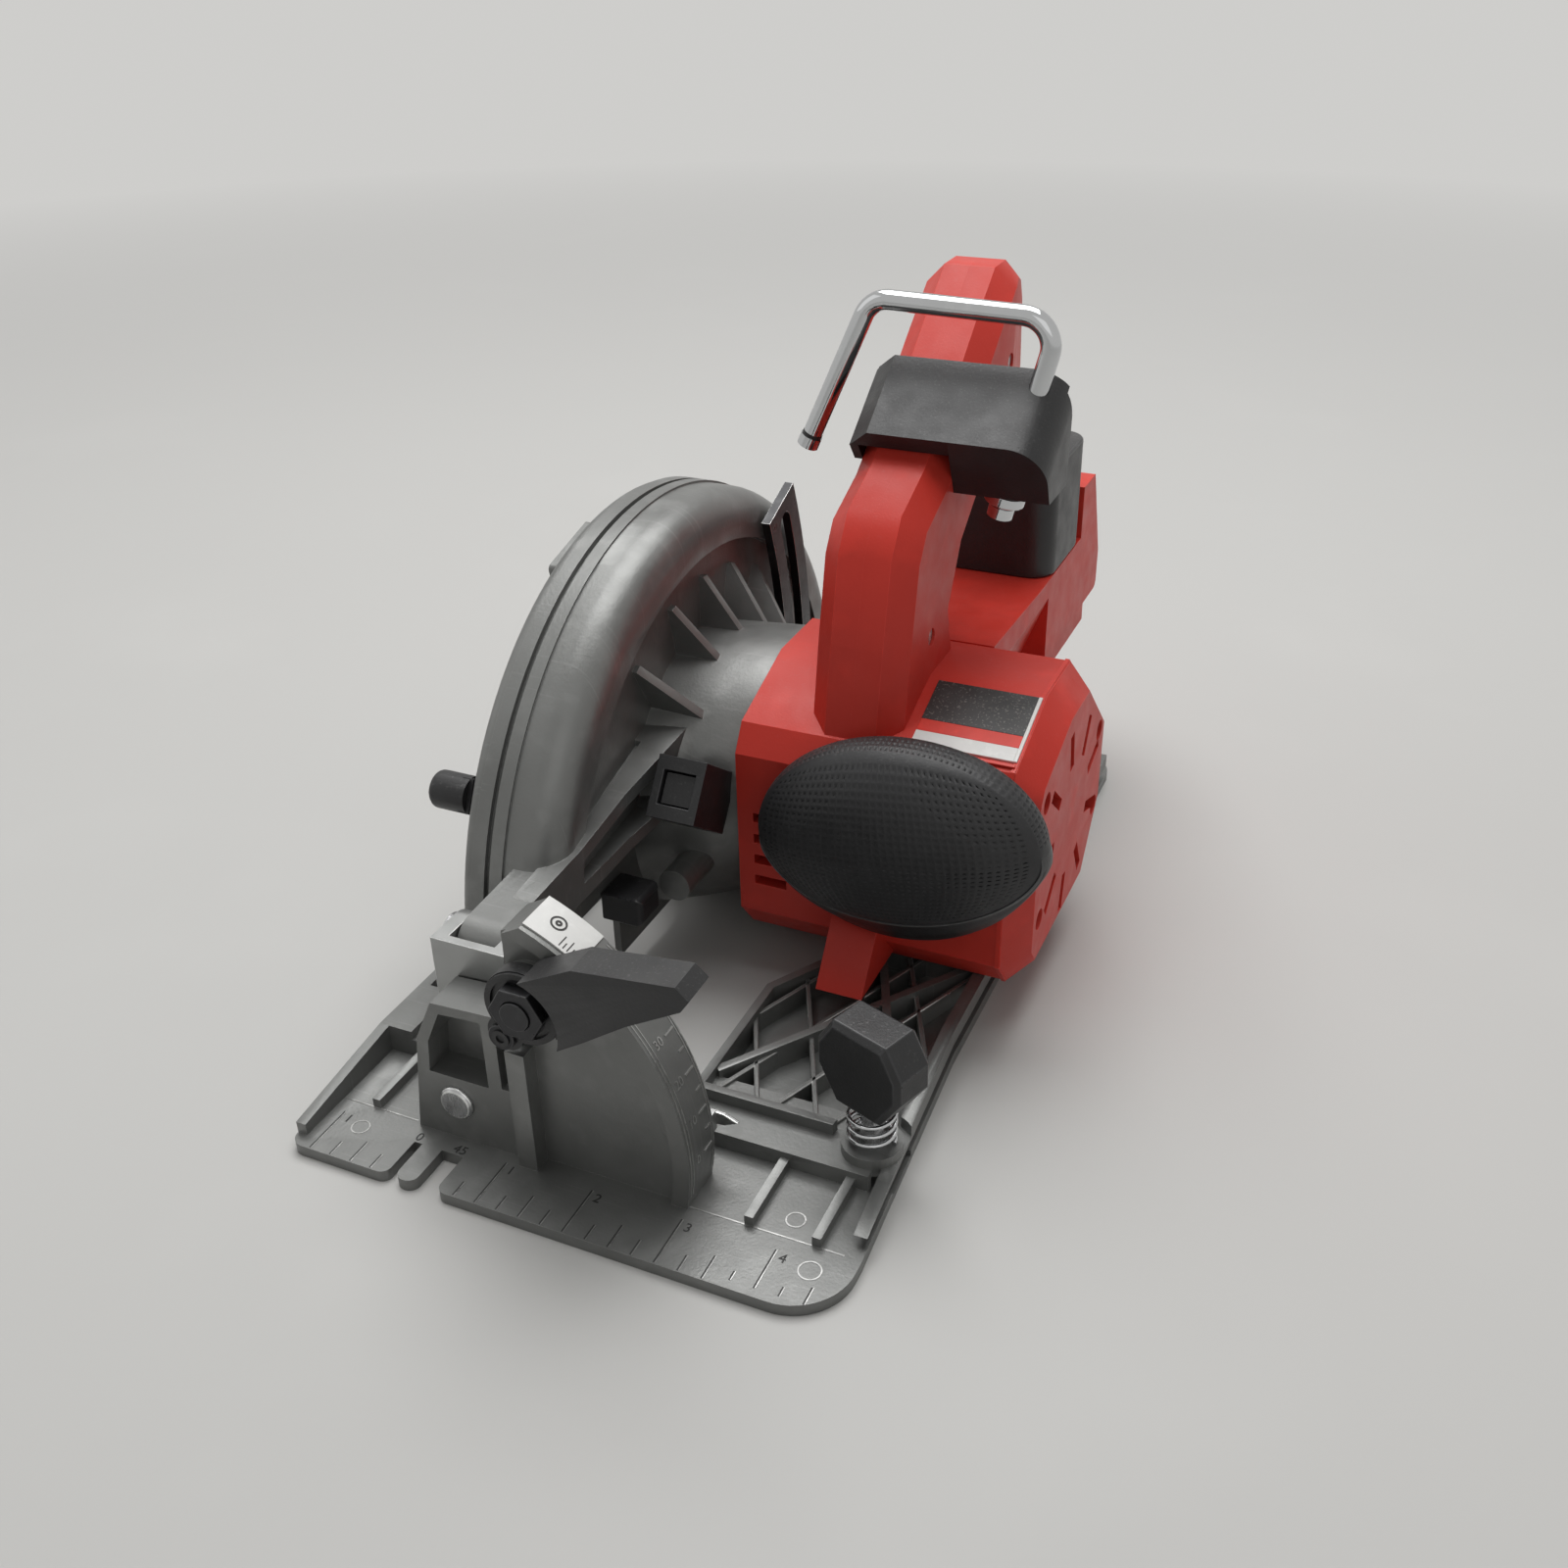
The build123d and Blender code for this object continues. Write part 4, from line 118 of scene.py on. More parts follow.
class SawColours(bpy.types.PropertyGroup):
    """Colours of the saw's finishes."""

    red: colour("Red nylon", "Motor housing, handle and battery foot", (0.60, 0.04, 0.026))
    black: colour("Black nylon", "Levers, knobs, clamp and rear block", (0.016, 0.016, 0.017))
    rubber: colour("Grip rubber", "Front grip and bumper", (0.018, 0.018, 0.0195))
    casting: colour("Cast metal", "Shoe and upper guard", (0.205, 0.208, 0.202))
    # Lighter edge colour of the castings: partly polish from handling, partly painted highlight; also the
    # tint of the castings' scuffs
    casting_edge: colour("Bright casting edge", "Where handling has polished the castings",
                         (0.46, 0.46, 0.45))
    steel: colour("Ground steel", "Pins, screws and the depth plate", (0.50, 0.50, 0.51))
    plated: colour("Plated brackets", "Tilt bracket and lower guard", (0.37, 0.375, 0.37))
    wire: colour("Bright wire", "Rafter hook", (0.60, 0.61, 0.62))
    pack: colour("Sheet pack", "Stacked sheets of rotor and stator", (0.2, 0.2, 0.21))
    white: colour("White plate", "Scale plate and label strip", (0.72, 0.72, 0.70))
    # Dust colour, also laid over upward faces as painted top light
    dust: colour("Dust", "Fine dust on upper faces", (0.42, 0.41, 0.40))


class SawSizes(bpy.types.PropertyGroup):
    """Sizes of the fine pieces."""

    cast_edge: length("Casting edges", "Rounding of the castings' edges", 0.5)
    soft_edge: length("Housing edges", "Rounding of the red mouldings", 2.0)
    black_edge: length("Black edges", "Rounding of the black mouldings", 0.7)
    steel_edge: length("Metal edges", "Rounding of pins, plates and brackets", 0.3)
    tick_width: length("Tick width", "Width of a ruler tick", 0.45)
    digit: length("Digit height", "Height of the ruler's digits", 4.0)
    pebble: length("Pebble depth", "Depth of the dimples in the front grip", 0.5)
    wire: length("Spring wire", "Wire of the rip-fence spring", 1.2)
    turns: FloatProperty(name="Spring turns", description="Turns of the rip-fence spring", default=3.5, min=1,
                         max=8)
    pebbles: IntProperty(name="Pebble rows", description="Rows of dimples across the front grip", default=38,
                         min=8, max=80)


class SawStage(bpy.types.PropertyGroup):
    """Camera and light."""

    place: FloatVectorProperty(name="Camera place", description="Where the picture is taken from",
                               subtype="TRANSLATION", unit="LENGTH", size=3,
                               default=(0.2226, -0.2673, 0.2967))
    lens: FloatProperty(name="Lens", description="Focal length on a 36 mm sensor", default=37.2, min=10,
                        max=200)
    top: FloatProperty(name="Top light", description="Power of the soft light overhead", default=17.0, min=0,
                       unit="POWER")
    fill: FloatProperty(name="Fill light", description="Power of the light from the front", default=1.1,
                        min=0, unit="POWER")
    around: FloatProperty(name="Light all round", description="Strength of the even light", default=0.31,
                          min=0)
    floor: colour("Floor", "Plain pale floor", (0.54, 0.535, 0.52))
    backdrop: colour("Backdrop", "What is seen where the floor ends", (0.62, 0.615, 0.60))


def colours():
    """Colour settings of the scene."""
    return bpy.context.scene.saw_colours


def sizes():
    """Size settings of the scene."""
    return bpy.context.scene.saw_sizes


# Finishes

class Finish:
    """Node material whose colour, gloss and grain vary over the piece on object coordinates."""

    def __init__(self, name, base, rough, metallic=0.0):
        self.material = bpy.data.materials.new(name)
        self.material.use_nodes = True
        self.nodes = self.material.node_tree.nodes
        self.links = self.material.node_tree.links
        self.shader = self.nodes["Principled BSDF"]
        self.shader.inputs["Roughness"].default_value = rough
        self.shader.inputs["Metallic"].default_value = metallic
        self.base = tuple(base)
        self.rough = rough
        self.coords = self.nodes.new("ShaderNodeTexCoord")
        self.colour = None

    def noise(self, scale, detail=4.0, stretch=None, turn=None):
        """Noise of a scale per metre, stretched or turned where asked."""
        texture = self.nodes.new("ShaderNodeTexNoise")
        texture.inputs["Scale"].default_value = scale
        texture.inputs["Detail"].default_value = detail
        source = self.coords.outputs["Object"]
        if stretch:
            mapping = self.nodes.new("ShaderNodeMapping")
            mapping.inputs["Scale"].default_value = stretch
            if turn:
                mapping.inputs["Rotation"].default_value = turn
            self.links.new(source, mapping.inputs["Vector"])
            source = mapping.outputs["Vector"]
        self.links.new(source, texture.inputs["Vector"])
        return texture.outputs["Fac"]

    def ramp(self, source, low, high, start=0.0, end=1.0):
        """Value from low to high on the source into start to end."""
        node = self.nodes.new("ShaderNodeMapRange")
        for name, value in (("From Min", low), ("From Max", high), ("To Min", start), ("To Max", end)):
            node.inputs[name].default_value = value
        self.links.new(source, node.inputs["Value"])
        return node.outputs["Result"]

    def times(self, first, second):
        """Product of two values."""
        node = self.nodes.new("ShaderNodeMath")
        node.operation = "MULTIPLY"
        self.links.new(first, node.inputs[0])
        self.links.new(second, node.inputs[1])
        return node.outputs["Value"]

    def tint(self, amount, other):
        """Blend the colour towards another one by an amount."""
        mix = self.nodes.new("ShaderNodeMix")
        mix.data_type = "RGBA"
        self.links.new(amount, mix.inputs["Factor"])
        if self.colour:
            self.links.new(self.colour, mix.inputs["A"])
        else:
            mix.inputs["A"].default_value = (*self.base, 1)
        mix.inputs["B"].default_value = (*other, 1)
        self.colour = mix.outputs["Result"]
        self.links.new(self.colour, self.shader.inputs["Base Color"])
        return self

    def clouds(self, scale, spread):
        """Slow change of shade over the piece."""
        darker = [c * (1 - spread) for c in self.base]
        lighter = [min(1, c * (1 + spread)) for c in self.base]
        self.tint(self.ramp(self.noise(scale, 5), 0.35, 0.7), darker)
        return self.tint(self.ramp(self.noise(scale * 2.7, 3), 0.55, 0.8), lighter)

    def gloss(self, scale, spread, stretch=None):
        """Uneven gloss."""
        value = self.ramp(self.noise(scale, 4, stretch), 0.3, 0.7, self.rough - spread, self.rough + spread)
        self.links.new(value, self.shader.inputs["Roughness"])
        return self

    def grain(self, scale, depth, strength=1.0, stretch=None):
        """Raised grain of a depth in millimetres."""
        bump = self.nodes.new("ShaderNodeBump")
        bump.inputs["Strength"].default_value = strength
        bump.inputs["Distance"].default_value = depth * MM
        self.links.new(self.noise(scale, 3, stretch), bump.inputs["Height"])
        self.links.new(bump.outputs["Normal"], self.shader.inputs["Normal"])
        return self

    def sheen(self, level):
        """Less or more mirror light than the usual half."""
        self.shader.inputs["Specular IOR Level"].default_value = level
        return self

    def upward(self, start=0.35):
        """How far a face looks up, in the piece's own frame."""
        split = self.nodes.new("ShaderNodeSeparateXYZ")
        self.links.new(self.coords.outputs["Normal"], split.inputs["Vector"])
        return self.ramp(split.outputs["Z"], start, 1.0)

    def dusty(self, amount, scale=900):
        """Specks of dust on upper faces, and a patchy lighter film on faces that look up: partly dust, partly
        painted top light.
        """
        specks = self.ramp(self.noise(scale, 2), 0.60, 0.74, 0, amount)
        dust_film_and_top_light = self.ramp(self.noise(45, 3), 0.42, 0.8, 0, amount * 0.5)
        self.tint(self.times(specks, self.upward()), colours().dust)
        return self.tint(self.times(dust_film_and_top_light, self.upward(0.6)), colours().dust)

    def scratched(self, amount, other):
        """Fine straight scuffs in two directions."""
        for turn in ((0, 0, 0.5), (0.3, 0.2, -0.9)):
            lines = self.ramp(self.noise(26, 2, (1, 34, 1), turn), 0.66, 0.72, 0, amount)
            self.tint(lines, other)
        return self


def cast_metal():
    """Satin light-metal casting."""
    c = colours()
    return (Finish("cast_metal", c.casting, 0.40, 0.55).clouds(38, 0.16).scratched(0.10, c.casting_edge)
            .gloss(120, 0.07).grain(1100, 0.05))


def cast_edge():
    """Edge of a casting, lighter: partly polished by handling, partly painted highlight."""
    return (Finish("cast_edge", colours().casting_edge, 0.33, 0.75).clouds(160, 0.35).gloss(200, 0.08)
            .grain(1100, 0.03))


def red_nylon():
    """Grained red moulding with a little dust and painted top light."""
    return (Finish("red_nylon", colours().red, 0.42).sheen(0.3).clouds(30, 0.10).dusty(0.05).gloss(140, 0.06)
            .grain(1500, 0.045, 0.8))


def red_edge():
    """Edge of a red moulding, rubbed a little smoother."""
    return (Finish("red_edge", [c * 1.12 for c in colours().red], 0.34).sheen(0.35).clouds(120, 0.12)
            .gloss(160, 0.05))


def black_nylon():
    """Grained black moulding with dust and painted top light on top."""
    return (Finish("black_nylon", colours().black, 0.42).clouds(40, 0.2).dusty(0.15).gloss(120, 0.07)
            .grain(1300, 0.06))


def worn_black():
    """Black moulding that is handled and dusted over, its upper faces lighter with painted top light."""
    return (Finish("worn_black", colours().black, 0.38).clouds(40, 0.2).dusty(0.12, 1400).gloss(120, 0.07)
            .grain(1300, 0.05))


def dark_screw():
    """Blackened screw steel."""
    return (Finish("dark_screw", (0.045, 0.045, 0.047), 0.34, 0.8).clouds(120, 0.25).gloss(200, 0.08)
            .grain(900, 0.02))


def black_edge():
    """Edge of a black moulding, rubbed to a light sheen, its lighter colour partly painted highlight."""
    return Finish("black_edge", [c * 2.2 for c in colours().black], 0.30).clouds(160, 0.3).gloss(160, 0.05)


def grip_rubber():
    """Soft grip, with dust and painted top light on its upper faces."""
    return (Finish("grip_rubber", colours().rubber, 0.48).clouds(55, 0.2).dusty(0.08).gloss(150, 0.07)
            .grain(1600, 0.05))


def seam_line():
    """Rubbed lip where the grip meets its shell, its lighter grey partly painted highlight."""
    return Finish("seam_line", (0.10, 0.10, 0.102), 0.32).clouds(160, 0.3).gloss(160, 0.05)


def ground_steel():
    """Steel with fine lines along its length."""
    return (Finish("ground_steel", colours().steel, 0.26, 1.0).clouds(60, 0.14).gloss(220, 0.08, (8, 8, 1))
            .grain(900, 0.012, 0.6, (10, 10, 0.6)))


def plated_zinc():
    """Bright plated bracket."""
    return (Finish("plated_zinc", colours().plated, 0.36, 0.9).clouds(45, 0.07)
            .scratched(0.10, (0.7, 0.7, 0.69)).gloss(160, 0.06).grain(1200, 0.02))


def plated_edge():
    """Edge of a plated bracket, much lighter than the bracket: painted highlight."""
    return Finish("plated_edge", (0.74, 0.75, 0.74), 0.24, 1.0).clouds(200, 0.2).gloss(200, 0.06)


def bright_wire():
    """Chromed wire."""
    return (Finish("bright_wire", colours().wire, 0.10, 1.0).clouds(90, 0.06).gloss(130, 0.045)
            .grain(500, 0.01, 0.5))


def sheet_pack():
    """Stack of thin sheets across the motor's axis."""
    return (Finish("sheet_pack", colours().pack, 0.45, 0.9).clouds(80, 0.15).gloss(150, 0.08)
            .grain(700, 0.08, 1.0, (3, 0.05, 0.05)))


def white_paint():
    """Printed white plate."""
    return (Finish("white_paint", colours().white, 0.38).clouds(160, 0.08).scratched(0.12, (0.45, 0.45, 0.44))
            .gloss(180, 0.06).grain(1400, 0.015))


def dark_mark():
    """Near-black colour of marks: print on the white plate, the shoe's digits, and painted shade in the sunk
    ruler ticks and in the gap at the hook's end.
    """
    return Finish("dark_mark", (0.035, 0.035, 0.034), 0.55, 0.3).clouds(300, 0.3).gloss(200, 0.05)


def foil():
    """Dark printed foil with a fine speckle."""
    finish = Finish("foil", (0.020, 0.020, 0.020), 0.36).clouds(90, 0.3)
    finish.tint(finish.ramp(finish.noise(1500, 1), 0.60, 0.68, 0, 0.5), (0.20, 0.19, 0.17))
    return finish.gloss(200, 0.05).grain(1500, 0.02)


MAKERS = {maker.__name__: maker for maker in (
    cast_metal, cast_edge, red_nylon, red_edge, black_nylon, worn_black, dark_screw, black_edge, grip_rubber,
    seam_line, ground_steel, plated_zinc, plated_edge, bright_wire, sheet_pack, white_paint, dark_mark, foil)}
FINISH_OF = {"cast_gray": ("cast_metal", "cast_edge"), "red_plastic": ("red_nylon", "red_edge"),
             "black_plastic": ("black_nylon", "black_edge"), "black_rubber": ("grip_rubber", "black_edge"),
             "zinc": ("plated_zinc", "plated_edge"), "steel": ("ground_steel", "plated_edge"),
             "lamination": ("sheet_pack", "sheet_pack"), "chrome": ("bright_wire", "bright_wire")}


def finish(name):
    """Material of that name, made on first use."""
    return bpy.data.materials.get(name) or MAKERS[name]().material


# Pieces

def place_piece(name, bm, body, slot, *finishes, smooth=None):
    """Object from a bmesh that rides on a body and takes the finishes given; the slot is not used."""
    mesh = bpy.data.meshes.new(name)
    bm.to_mesh(mesh)
    bm.free()
    if smooth:
        mesh.shade_smooth()
        mesh.set_sharp_from_angle(angle=radians(smooth))
    for each in finishes:
        mesh.materials.append(finish(each))
    piece = bpy.data.objects.new(name, mesh)
    bpy.context.scene.collection.objects.link(piece)
    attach(piece, body)
    return piece


def merged_copy(node):
    """Bmesh of a solid's surface with its triangles joined and its flat faces whole."""
    bm = bmesh.new()
    bm.from_mesh(frame["nodes"][node].data)
    bmesh.ops.remove_doubles(bm, verts=bm.verts, dist=SAME_POINT * MM)
    bmesh.ops.dissolve_limit(bm, angle_limit=radians(FLAT_ANGLE), verts=bm.verts, edges=bm.edges)
    return bm


def softened(node, width, segments=2, angle=30, finishes=None, weigh=None):
    """Copy of a solid with rounded, rubbed edges that stands for it, each edge by its weight where asked;
    where their finish is lighter, it is partly painted highlight.
    """
    main, edge = finishes or FINISH_OF[SLOT_OF[node]]
    bm = merged_copy(node)
    if weigh:
        weight = bm.edges.layers.float.new("bevel_weight_edge")
        for each in bm.edges:
            if each.is_manifold and each.calc_face_angle() > radians(angle):
                each[weight] = weigh(each)
    piece = place_piece(node + "_skin", bm, BODY_OF[node], SLOT_OF[node], main, edge, smooth=angle)
    bevel = piece.modifiers.new("rubbed edges", "BEVEL")
    bevel.width = width
    bevel.segments = segments
    bevel.limit_method = "WEIGHT" if weigh else "ANGLE"
    bevel.angle_limit = radians(angle)
    # The bevel's faces take the edge finish; where it is lighter than the main finish it is partly painted
    # highlight along the edge
    bevel.material = 1
    bevel.harden_normals = True
    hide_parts(node)


def main_edges(edge):
    """Full rounding on a moulding's long outer edges, little on short ones and along the joint of halves."""
    on_joint = all(abs(vert.co.x / MM - HANDLE_X) < ON_JOINT for vert in edge.verts)
    return SHORT_WEIGHT if on_joint or edge.calc_length() < SHORT_EDGE * MM else 1.0


def box(bm, low, high):
    """Box between two corners in millimetres; gives its points."""
    low, high = Vector(low) * MM, Vector(high) * MM
    place = Matrix.Translation((low + high) / 2) @ Matrix.Diagonal((*(high - low), 1))
    return bmesh.ops.create_cube(bm, size=1, matrix=place)["verts"]


def join(bm, other):
    """Add one bmesh to another."""
    mesh = bpy.data.meshes.new("joined")
    other.to_mesh(mesh)
    other.free()
    bm.from_mesh(mesh)
    bpy.data.meshes.remove(mesh)


def on_drum(degree, offset=0.0):
    """Place on the quadrant's drum at a bevel angle, X outwards, moved along its width."""
    centre = Vector((BEVEL_X, offset, BEVEL_Z)) * MM
    return Matrix.Translation(centre) @ Matrix.Rotation(-radians(degree), 4, "Y")


def drum_mark(bm, degree, low, high):
    """Small block on the quadrant's drum, its corners given as for zero degrees."""
    bmesh.ops.transform(bm, matrix=on_drum(degree), verts=box(bm, low, high))


def arc_strip(bm, radius, y0, y1, start, end, thick):
    """Strip on a drum about the bevel axis, between two angles, with a thickness outwards."""
    strip = bmesh.new()
    centre = Vector((BEVEL_X, 0, BEVEL_Z)) * MM
    way = Vector((cos(radians(start)), 0, sin(radians(start))))
    verts = [strip.verts.new(centre + (way * radius + Vector((0, y, 0))) * MM) for y in (y0, y1)]
    edge = strip.edges.new(verts)
    bmesh.ops.spin(strip, geom=verts + [edge], cent=centre, axis=(0, -1, 0), angle=radians(end - start),
                   steps=max(2, round(end - start)), use_merge=False)
    bmesh.ops.recalc_face_normals(strip, faces=strip.faces)
    bmesh.ops.solidify(strip, geom=strip.faces[:], thickness=-thick * MM)
    join(bm, strip)


def lettering(bm, text, size, place):
    """Generic digits, flat in the plane that place gives, added to a bmesh."""
    curve = bpy.data.curves.new("digits", "FONT")
    curve.body = text
    curve.size = size
    curve.align_x = "CENTER"
    curve.align_y = "CENTER"
    curve.extrude = DIGIT_T * MM
    item = bpy.data.objects.new("digits", curve)
    mesh = bpy.data.meshes.new_from_object(item)
    mesh.transform(place)
    bm.from_mesh(mesh)
    bpy.data.objects.remove(item)
    bpy.data.curves.remove(curve)
    bpy.data.meshes.remove(mesh)


def ring(bm, centre, axis, inner, outer, thick, steps=40):
    """Flat ring in millimetres: its inner and outer radius and its thickness along the axis."""
    axis = Vector(axis).normalized()
    across = axis.orthogonal().normalized()
    centre = Vector(centre)
    section = ((inner, 0), (outer, 0), (outer, thick), (inner, thick))
    verts = [bm.verts.new((centre + across * r + axis * t) * MM) for r, t in section]
    edges = [bm.edges.new((verts[i], verts[(i + 1) % 4])) for i in range(4)]
    bmesh.ops.spin(bm, geom=verts + edges, cent=centre * MM, axis=axis, angle=2 * pi, steps=steps,
                   use_merge=True)
    bmesh.ops.remove_doubles(bm, verts=bm.verts, dist=SAME_RING_POINT * MM)
    bmesh.ops.recalc_face_normals(bm, faces=bm.faces)


class SAW_OT_castings(bpy.types.Operator):
    """Give the shoe and the upper guard rounded edges, rubbed and with a painted highlight along them"""

    bl_idname = "saw.castings"
    bl_label = "Castings"

    def execute(self, context):
        """Shoe and upper guard."""
        for node in ("shoe", "upper_guard"):
            softened(node, sizes().cast_edge)
        return {"FINISHED"}


class SAW_OT_shoe_marks(bpy.types.Operator):
    """Engrave the ruler, the sight digits and the casting marks on the shoe"""

    bl_idname = "saw.shoe_marks"
    bl_label = "Shoe marks"
    # Ruler: count of ticks, reach of whole, half and quarter inches, start behind the edge and at the corner
    TICKS = 23
    WHOLE, HALF, QUARTER = 15.5, 8.0, 5.5
    EDGE_GAP, CORNER_GAP, CORNER_TICK = 0.4, 2.5, 19
    # Sight notches: middle, and half of the room that they take from the ruler
    NOTCHES = ((0.0, 2.5), (10.6, 4.5))
    # Digits: tick and text, and how far they stand beside the tick and behind the edge
    DIGITS = ((0, "1"), (8, "1"), (12, "2"), (16, "3"), (20, "4"))
    DIGIT_SIDE, DIGIT_BACK = 2.6, 13.4
    SIGHTS, SIGHT_Y = (("0", -0.9), ("45", 11.8)), -15.2
    # Ejector marks: place and radius; drawn as bright rings, a painted highlight
    RINGS = ((-17.8, -18.0, 2.6), (111.7, -17.5, 3.0), (102.1, -3.8, 2.6))
    RING_W, RING_H = 0.35, 0.32
    # Lines where the plate steps, drawn as bright strips: a painted highlight on the step
    STEPS = ((-28.5, -5.0), (76.0, 117.5))
    STEP_FRONT, STEP_BACK, STEP_H = -10.2, -9.8, 0.12
    # How far marks sink in and stand out, and the bright side of a tick, a painted highlight beside it
    SUNK, MARK_H = 0.2, 0.06
    BRIGHT_W, BRIGHT_H = 0.25, 0.03

    def execute(self, context):
        """Ruler, digits, ejector rings and step lines; the ticks' dark bottoms are painted shade, and the
        bright pieces painted highlight.
        """
        s = sizes()
        half = s.tick_width / MM / 2
        low, top = PLATE_TOP - self.SUNK, PLATE_TOP + self.MARK_H
        dark, bright = bmesh.new(), bmesh.new()
        for k in range(self.TICKS):
            x = RULER_START + QUARTER_INCH * k
            if any(abs(x - middle) < room for middle, room in self.NOTCHES):
                continue
            back = SHOE_FRONT + (self.WHOLE if k % 4 == 0 else self.HALF if k % 2 == 0 else self.QUARTER)
            front = SHOE_FRONT + (self.EDGE_GAP if k < self.CORNER_TICK else self.CORNER_GAP)
            # Dark tick, painted shade in its groove, and beside it a bright strip, a painted highlight
            box(dark, (x - half, front, low), (x + half, back, top))
            box(bright, (x + half, front, low), (x + half + self.BRIGHT_W, back, top + self.BRIGHT_H))
        for k, digit in self.DIGITS:
            x = RULER_START + QUARTER_INCH * k + self.DIGIT_SIDE
            spot = Vector((x, SHOE_FRONT + self.DIGIT_BACK, top))
            lettering(dark, digit, s.digit, Matrix.Translation(spot * MM))
        for text, x in self.SIGHTS:
            lettering(dark, text, s.digit, Matrix.Translation(Vector((x, self.SIGHT_Y, top)) * MM))
        for x, y, r in self.RINGS:
            ring(bright, (x, y, low), (0, 0, 1), r - self.RING_W, r, self.RING_H)
        for x0, x1 in self.STEPS:
            box(bright, (x0, self.STEP_FRONT, low), (x1, self.STEP_BACK, PLATE_TOP + self.STEP_H))
        # Dark marks: the digits, and the ticks' painted shade; bright pieces: painted highlight
        place_piece("shoe_ruler", dark, "shoe", "cast_gray", "dark_mark")
        place_piece("shoe_ruler_highlights", bright, "shoe", "cast_gray", "cast_edge")
        return {"FINISHED"}


class SAW_OT_shoe_lattice(bpy.types.Operator):
    """Cross thin ribs over the front field of the shoe's foot"""

    bl_idname = "saw.shoe_lattice"
    bl_label = "Shoe lattice"
    # Ends of each rib, seen from above
    RIBS = (((78.9, 24), (62.5, 58.5)), ((95.9, 24), (68.8, 81)), ((105.3, 40), (78.2, 97)),
            ((114.9, 55.6), (91.9, 104)), ((64.8, 24), (98.4, 104)), ((81.8, 24), (114.5, 101.8)),
            ((98.8, 24), (114.5, 61.3)), ((62.5, 59), (76.8, 93)))
    RIB_T, RIB_TOP = 1.3, 9.6
    # Depth of the ribs' roots below the plate, and the width of their bright edges, a painted highlight
    ROOT, RUBBED = 0.5, 0.25

    def execute(self, context):
        """One bar for each rib, its edges bright with a painted highlight."""
        bm = bmesh.new()
        tall = self.RIB_TOP - PLATE_TOP + self.ROOT
        for start, end in self.RIBS:
            way = Vector(end) - Vector(start)
            middle = (Vector(start) + way / 2).to_3d()
            middle.z = self.RIB_TOP - tall / 2
            place = (Matrix.Translation(middle * MM) @ Matrix.Rotation(atan2(way.y, way.x), 4, "Z")
                     @ Matrix.Diagonal((way.length * MM, self.RIB_T * MM, tall * MM, 1)))
            bmesh.ops.create_cube(bm, size=1, matrix=place)
        rubbed = bmesh.ops.bevel(bm, geom=bm.edges[:], offset=self.RUBBED * MM, offset_type="OFFSET",
                                 affect="EDGES", segments=1, profile=0.5, material=-1)
        for face in rubbed["faces"]:
            face.material_index = 1
        place_piece("shoe_lattice", bm, "shoe", "cast_gray", "cast_metal", "cast_edge")
        return {"FINISHED"}


